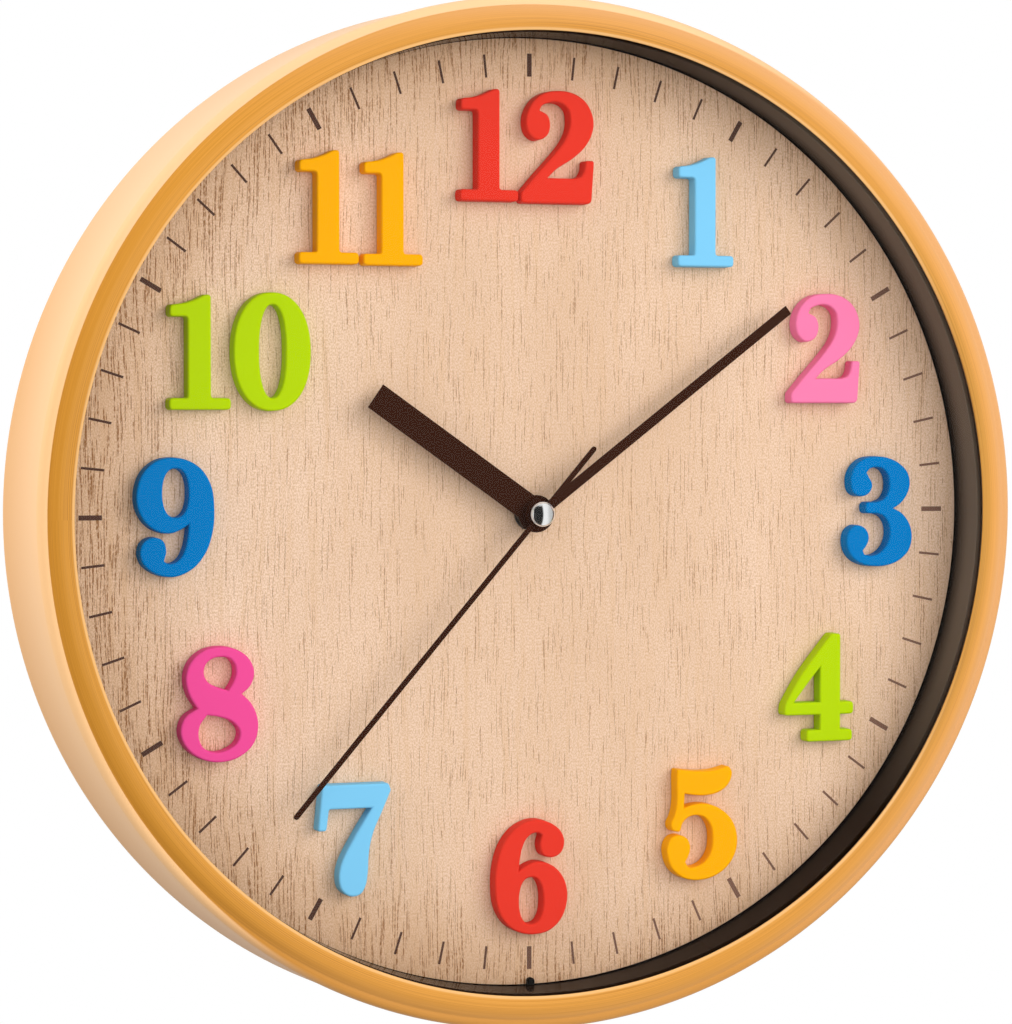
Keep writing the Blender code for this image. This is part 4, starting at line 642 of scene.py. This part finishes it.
def curve_through(nodes):
    """A closed outline through the nodes. A node with a reach is a corner, rounded over that reach by a
    quadratic arc, p0 (1-t)^2 + p1 2t(1-t) + p2 t^2. Between two corners the outline is straight, and to
    and from the other nodes it is a cubic curve, p0 (1-t)^3 + p1 3t(1-t)^2 + p2 3t^2(1-t) + p3 t^3."""
    spots = np.array([(x, z) for x, z, _ in nodes])
    count = len(spots)
    leave, arrive, way_out, way_in, reaches = [], [], [], [], []
    for i in range(count):
        coming, going = spots[i] - spots[i - 1], spots[(i + 1) % count] - spots[i]
        reach = min(nodes[i][2], np.linalg.norm(coming) / 2, np.linalg.norm(going) / 2)
        if reach:
            way_in.append(unit(coming))
            way_out.append(unit(going))
        else:
            smooth = unit(unit(coming) * np.linalg.norm(going) + unit(going) * np.linalg.norm(coming))
            way_in.append(smooth)
            way_out.append(smooth)
        arrive.append(spots[i] - way_in[i] * reach)
        leave.append(spots[i] + way_out[i] * reach)
        reaches.append(reach)
    points = []
    for i in range(count):
        j = (i + 1) % count
        if reaches[i]:
            for t in np.linspace(0, 1, CORNER_STEPS + 1):
                points.append(arrive[i] * (1 - t) ** 2 + spots[i] * 2 * t * (1 - t) + leave[i] * t ** 2)
        else:
            points.append(leave[i])
        if reaches[i] and reaches[j]:
            continue
        pull = np.linalg.norm(arrive[j] - leave[i]) / 3
        first, second = leave[i] + way_out[i] * pull, arrive[j] - way_in[j] * pull
        for t in np.linspace(0, 1, CURVE_STEPS + 1)[1:-1]:
            points.append(leave[i] * (1 - t) ** 3 + first * 3 * t * (1 - t) ** 2
                          + second * 3 * t ** 2 * (1 - t) + arrive[j] * t ** 3)
    return np.array(points)


def full_oval(width, height, fullness, place=(0.0, 0.0)):
    """A superellipse: |x / width| and |z / height| raised to the fullness add up to one."""
    t = np.linspace(0, 2 * np.pi, OVAL_STEPS, endpoint=False)
    c, s = np.cos(t), np.sin(t)
    return np.stack([place[0] + width * np.sign(c) * abs(c) ** (2 / fullness),
                     place[1] + height * np.sign(s) * abs(s) ** (2 / fullness)], 1)


# Each numeral is its outline, moved, swept up a side wall and a quarter round of NUMERAL_ROUNDING
NUMERAL_ROUNDING = 0.00065
numeral_profile = [(-0.00045, NUMERAL_BASE_LEVEL), (-0.00042, NUMERAL_BASE_LEVEL + 0.0003)]
numeral_profile += [
    (NUMERAL_ROUNDING * (1 - np.cos(t)) - 0.00035, 0.02985 + NUMERAL_ROUNDING * np.sin(t))
    for t in np.radians([0, 15, 30, 45, 60, 75, 90])]
numeral_looks = {
    slot_name: plain("numeral_" + slot_name, srgb(*colour), 0.45, specular=0.045, grain=0.02, tone=0.015)
    for slot_name, colour in {
        "red": (226, 54, 38), "sky": (124, 199, 237), "pink": (245, 124, 169), "blue": (0, 117, 187),
        "lime": (177, 209, 0), "amber": (250, 172, 0), "magenta": (237, 76, 149)}.items()}
one, two, six = curve_through(ONE), curve_through(TWO), curve_through(SIX)
six_opening = full_oval(4.15, 7.35, 2.3, (0.0, -6.95))
zero = full_oval(11.2, 16.7, 2.2)
zero_opening = full_oval(4.3, 13.75, 2.3, (0.05, 0.1))
NUMERALS = {
    "numeral_12_one": ([one], (-17.4, 92.3), "red"),
    "numeral_12_two": ([two], (0, 0), "red"),
    "numeral_1": ([one], (51.5, 74.0), "sky"),
    "numeral_2": ([two], (87.1, -58.9), "pink"),
    "numeral_3": ([curve_through(THREE)], (0, 0), "blue"),
    "numeral_4": ([curve_through(FOUR), curve_through(FOUR_OPENING)], (0, 0), "lime"),
    "numeral_5": ([curve_through(FIVE)], (0, 0), "amber"),
    "numeral_6": ([six, six_opening], (-0.95, -108.0), "red"),
    "numeral_7": ([curve_through(SEVEN)], (0, 0), "sky"),
    "numeral_8": ([curve_through(EIGHT), curve_through(EIGHT_UPPER), curve_through(EIGHT_LOWER)], (0, 0),
                  "magenta"),
    "numeral_9": ([-six, -six_opening], (-108.85, 0.0), "blue"),
    "numeral_10_one": ([one], (-104.85, 31.05), "lime"),
    "numeral_10_zero": ([zero, zero_opening], (-80.15, 47.4), "lime"),
    "numeral_11_left": ([one], (-66.5, 73.2), "amber"),
    "numeral_11_right": ([one], (-47.0, 73.0), "amber"),
}
for node_name, (outlines, move, slot_name) in NUMERALS.items():
    placed = [(outline + np.array(move)) * MM + np.array([0.0, AXIS_HEIGHT]) for outline in outlines]
    piece = raised(node_name + "_rounded", placed, numeral_profile, numeral_looks[slot_name])
    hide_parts(node_name)
    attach(piece, "clock_case")

# Centre cap: a flange under a domed, polished top. The flange is duller, so it doesn't take the dial's colour.
DOME_RADIUS, DOME_CENTRE_LEVEL, DOME_EDGE_DEGREES = 0.00492, 0.03458, 38
cap_look = Graph("polished_cap")
cap_level = cap_look.times(cap_look.place()[1], -1.0)
cap_material = cap_look.surface(
    Base_Color=cap_look.mix(cap_look.noise(cap_look.spot(), scale=900.0), (0.92, 0.93, 0.92), (0.94, 0.95, 0.94)),
    Metallic=cap_look.span(cap_level, 0.0377, 0.0384, 0.25, 1.0), Roughness=0.10)
cap_profile = [(0.0, 0.03664), (0.0033, 0.03664), (0.0036, 0.03690), (CAP_FLANGE, 0.0376),
               (0.0036, 0.0379), (0.0032, 0.03835)]
cap_profile += [(DOME_RADIUS * np.sin(t), DOME_CENTRE_LEVEL + DOME_RADIUS * np.cos(t))
                for t in np.radians(np.linspace(DOME_EDGE_DEGREES, 0, 16))]
cap = turned("centre_cap_polished", cap_profile, cap_material, steps=96, crease=50.0)
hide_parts("centre_cap")
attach(cap, "second_assembly")

# Materials of the nodes that stay
hand_material = plain("hand_brown_enamel", srgb(52, 25, 13), 0.55, specular=0.04, tone=0.02)
LOOKS = {
    "dial_plate": wood_material,
    "front_lens": lens_look.material,
    "hour_hand": hand_material, "minute_hand": hand_material, "second_hand": hand_material,
    "fixing_nut": plain("nut_black", srgb(16, 11, 10), 0.4, specular=0.3),
    "metal_washer": plain("washer_bright", (0.55, 0.55, 0.55), 0.3, metallic=1.0),
    "back_cover": plain("cover_black", srgb(34, 34, 36), 0.55, grain=0.3),
    "movement_front_case": plain("movement_black", srgb(26, 26, 28), 0.5, grain=0.2),
    "movement_back_case": plain("movement_lid_black", srgb(28, 28, 30), 0.5, grain=0.2),
    "movement_middle_plate": plain("movement_plate_cream", srgb(214, 210, 196), 0.5),
    "rubber_gasket": plain("gasket_black", srgb(24, 24, 24), 0.85),
    "motor_rotor": plain("rotor_dark", srgb(70, 70, 74), 0.45, metallic=0.6),
    "motor_stator": plain("stator_steel", (0.5, 0.5, 0.5), 0.4, metallic=1.0),
    "motor_coil": plain("coil_copper", srgb(184, 100, 60), 0.4, metallic=0.8),
    "circuit_board": plain("board_green", srgb(30, 90, 50), 0.4),
    "battery": plain("battery_sleeve", srgb(60, 62, 66), 0.3, metallic=0.3),
    "battery_contact_positive": plain("contact_nickel", (0.6, 0.58, 0.5), 0.35, metallic=1.0),
    "battery_contact_negative": plain("contact_nickel_two", (0.6, 0.58, 0.5), 0.35, metallic=1.0),
    "setting_knob": plain("knob_black", srgb(30, 30, 30), 0.45),
}
wheel_look = plain("wheel_cream", srgb(226, 222, 206), 0.45)
screw_look = plain("screw_plated", (0.55, 0.55, 0.56), 0.3, metallic=1.0)
for node_name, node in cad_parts.items():
    look = LOOKS.get(node_name)
    if look is None:
        look = screw_look if node_name.startswith("cover_screw") else wheel_look
    node.data.materials.clear()
    node.data.materials.append(look)
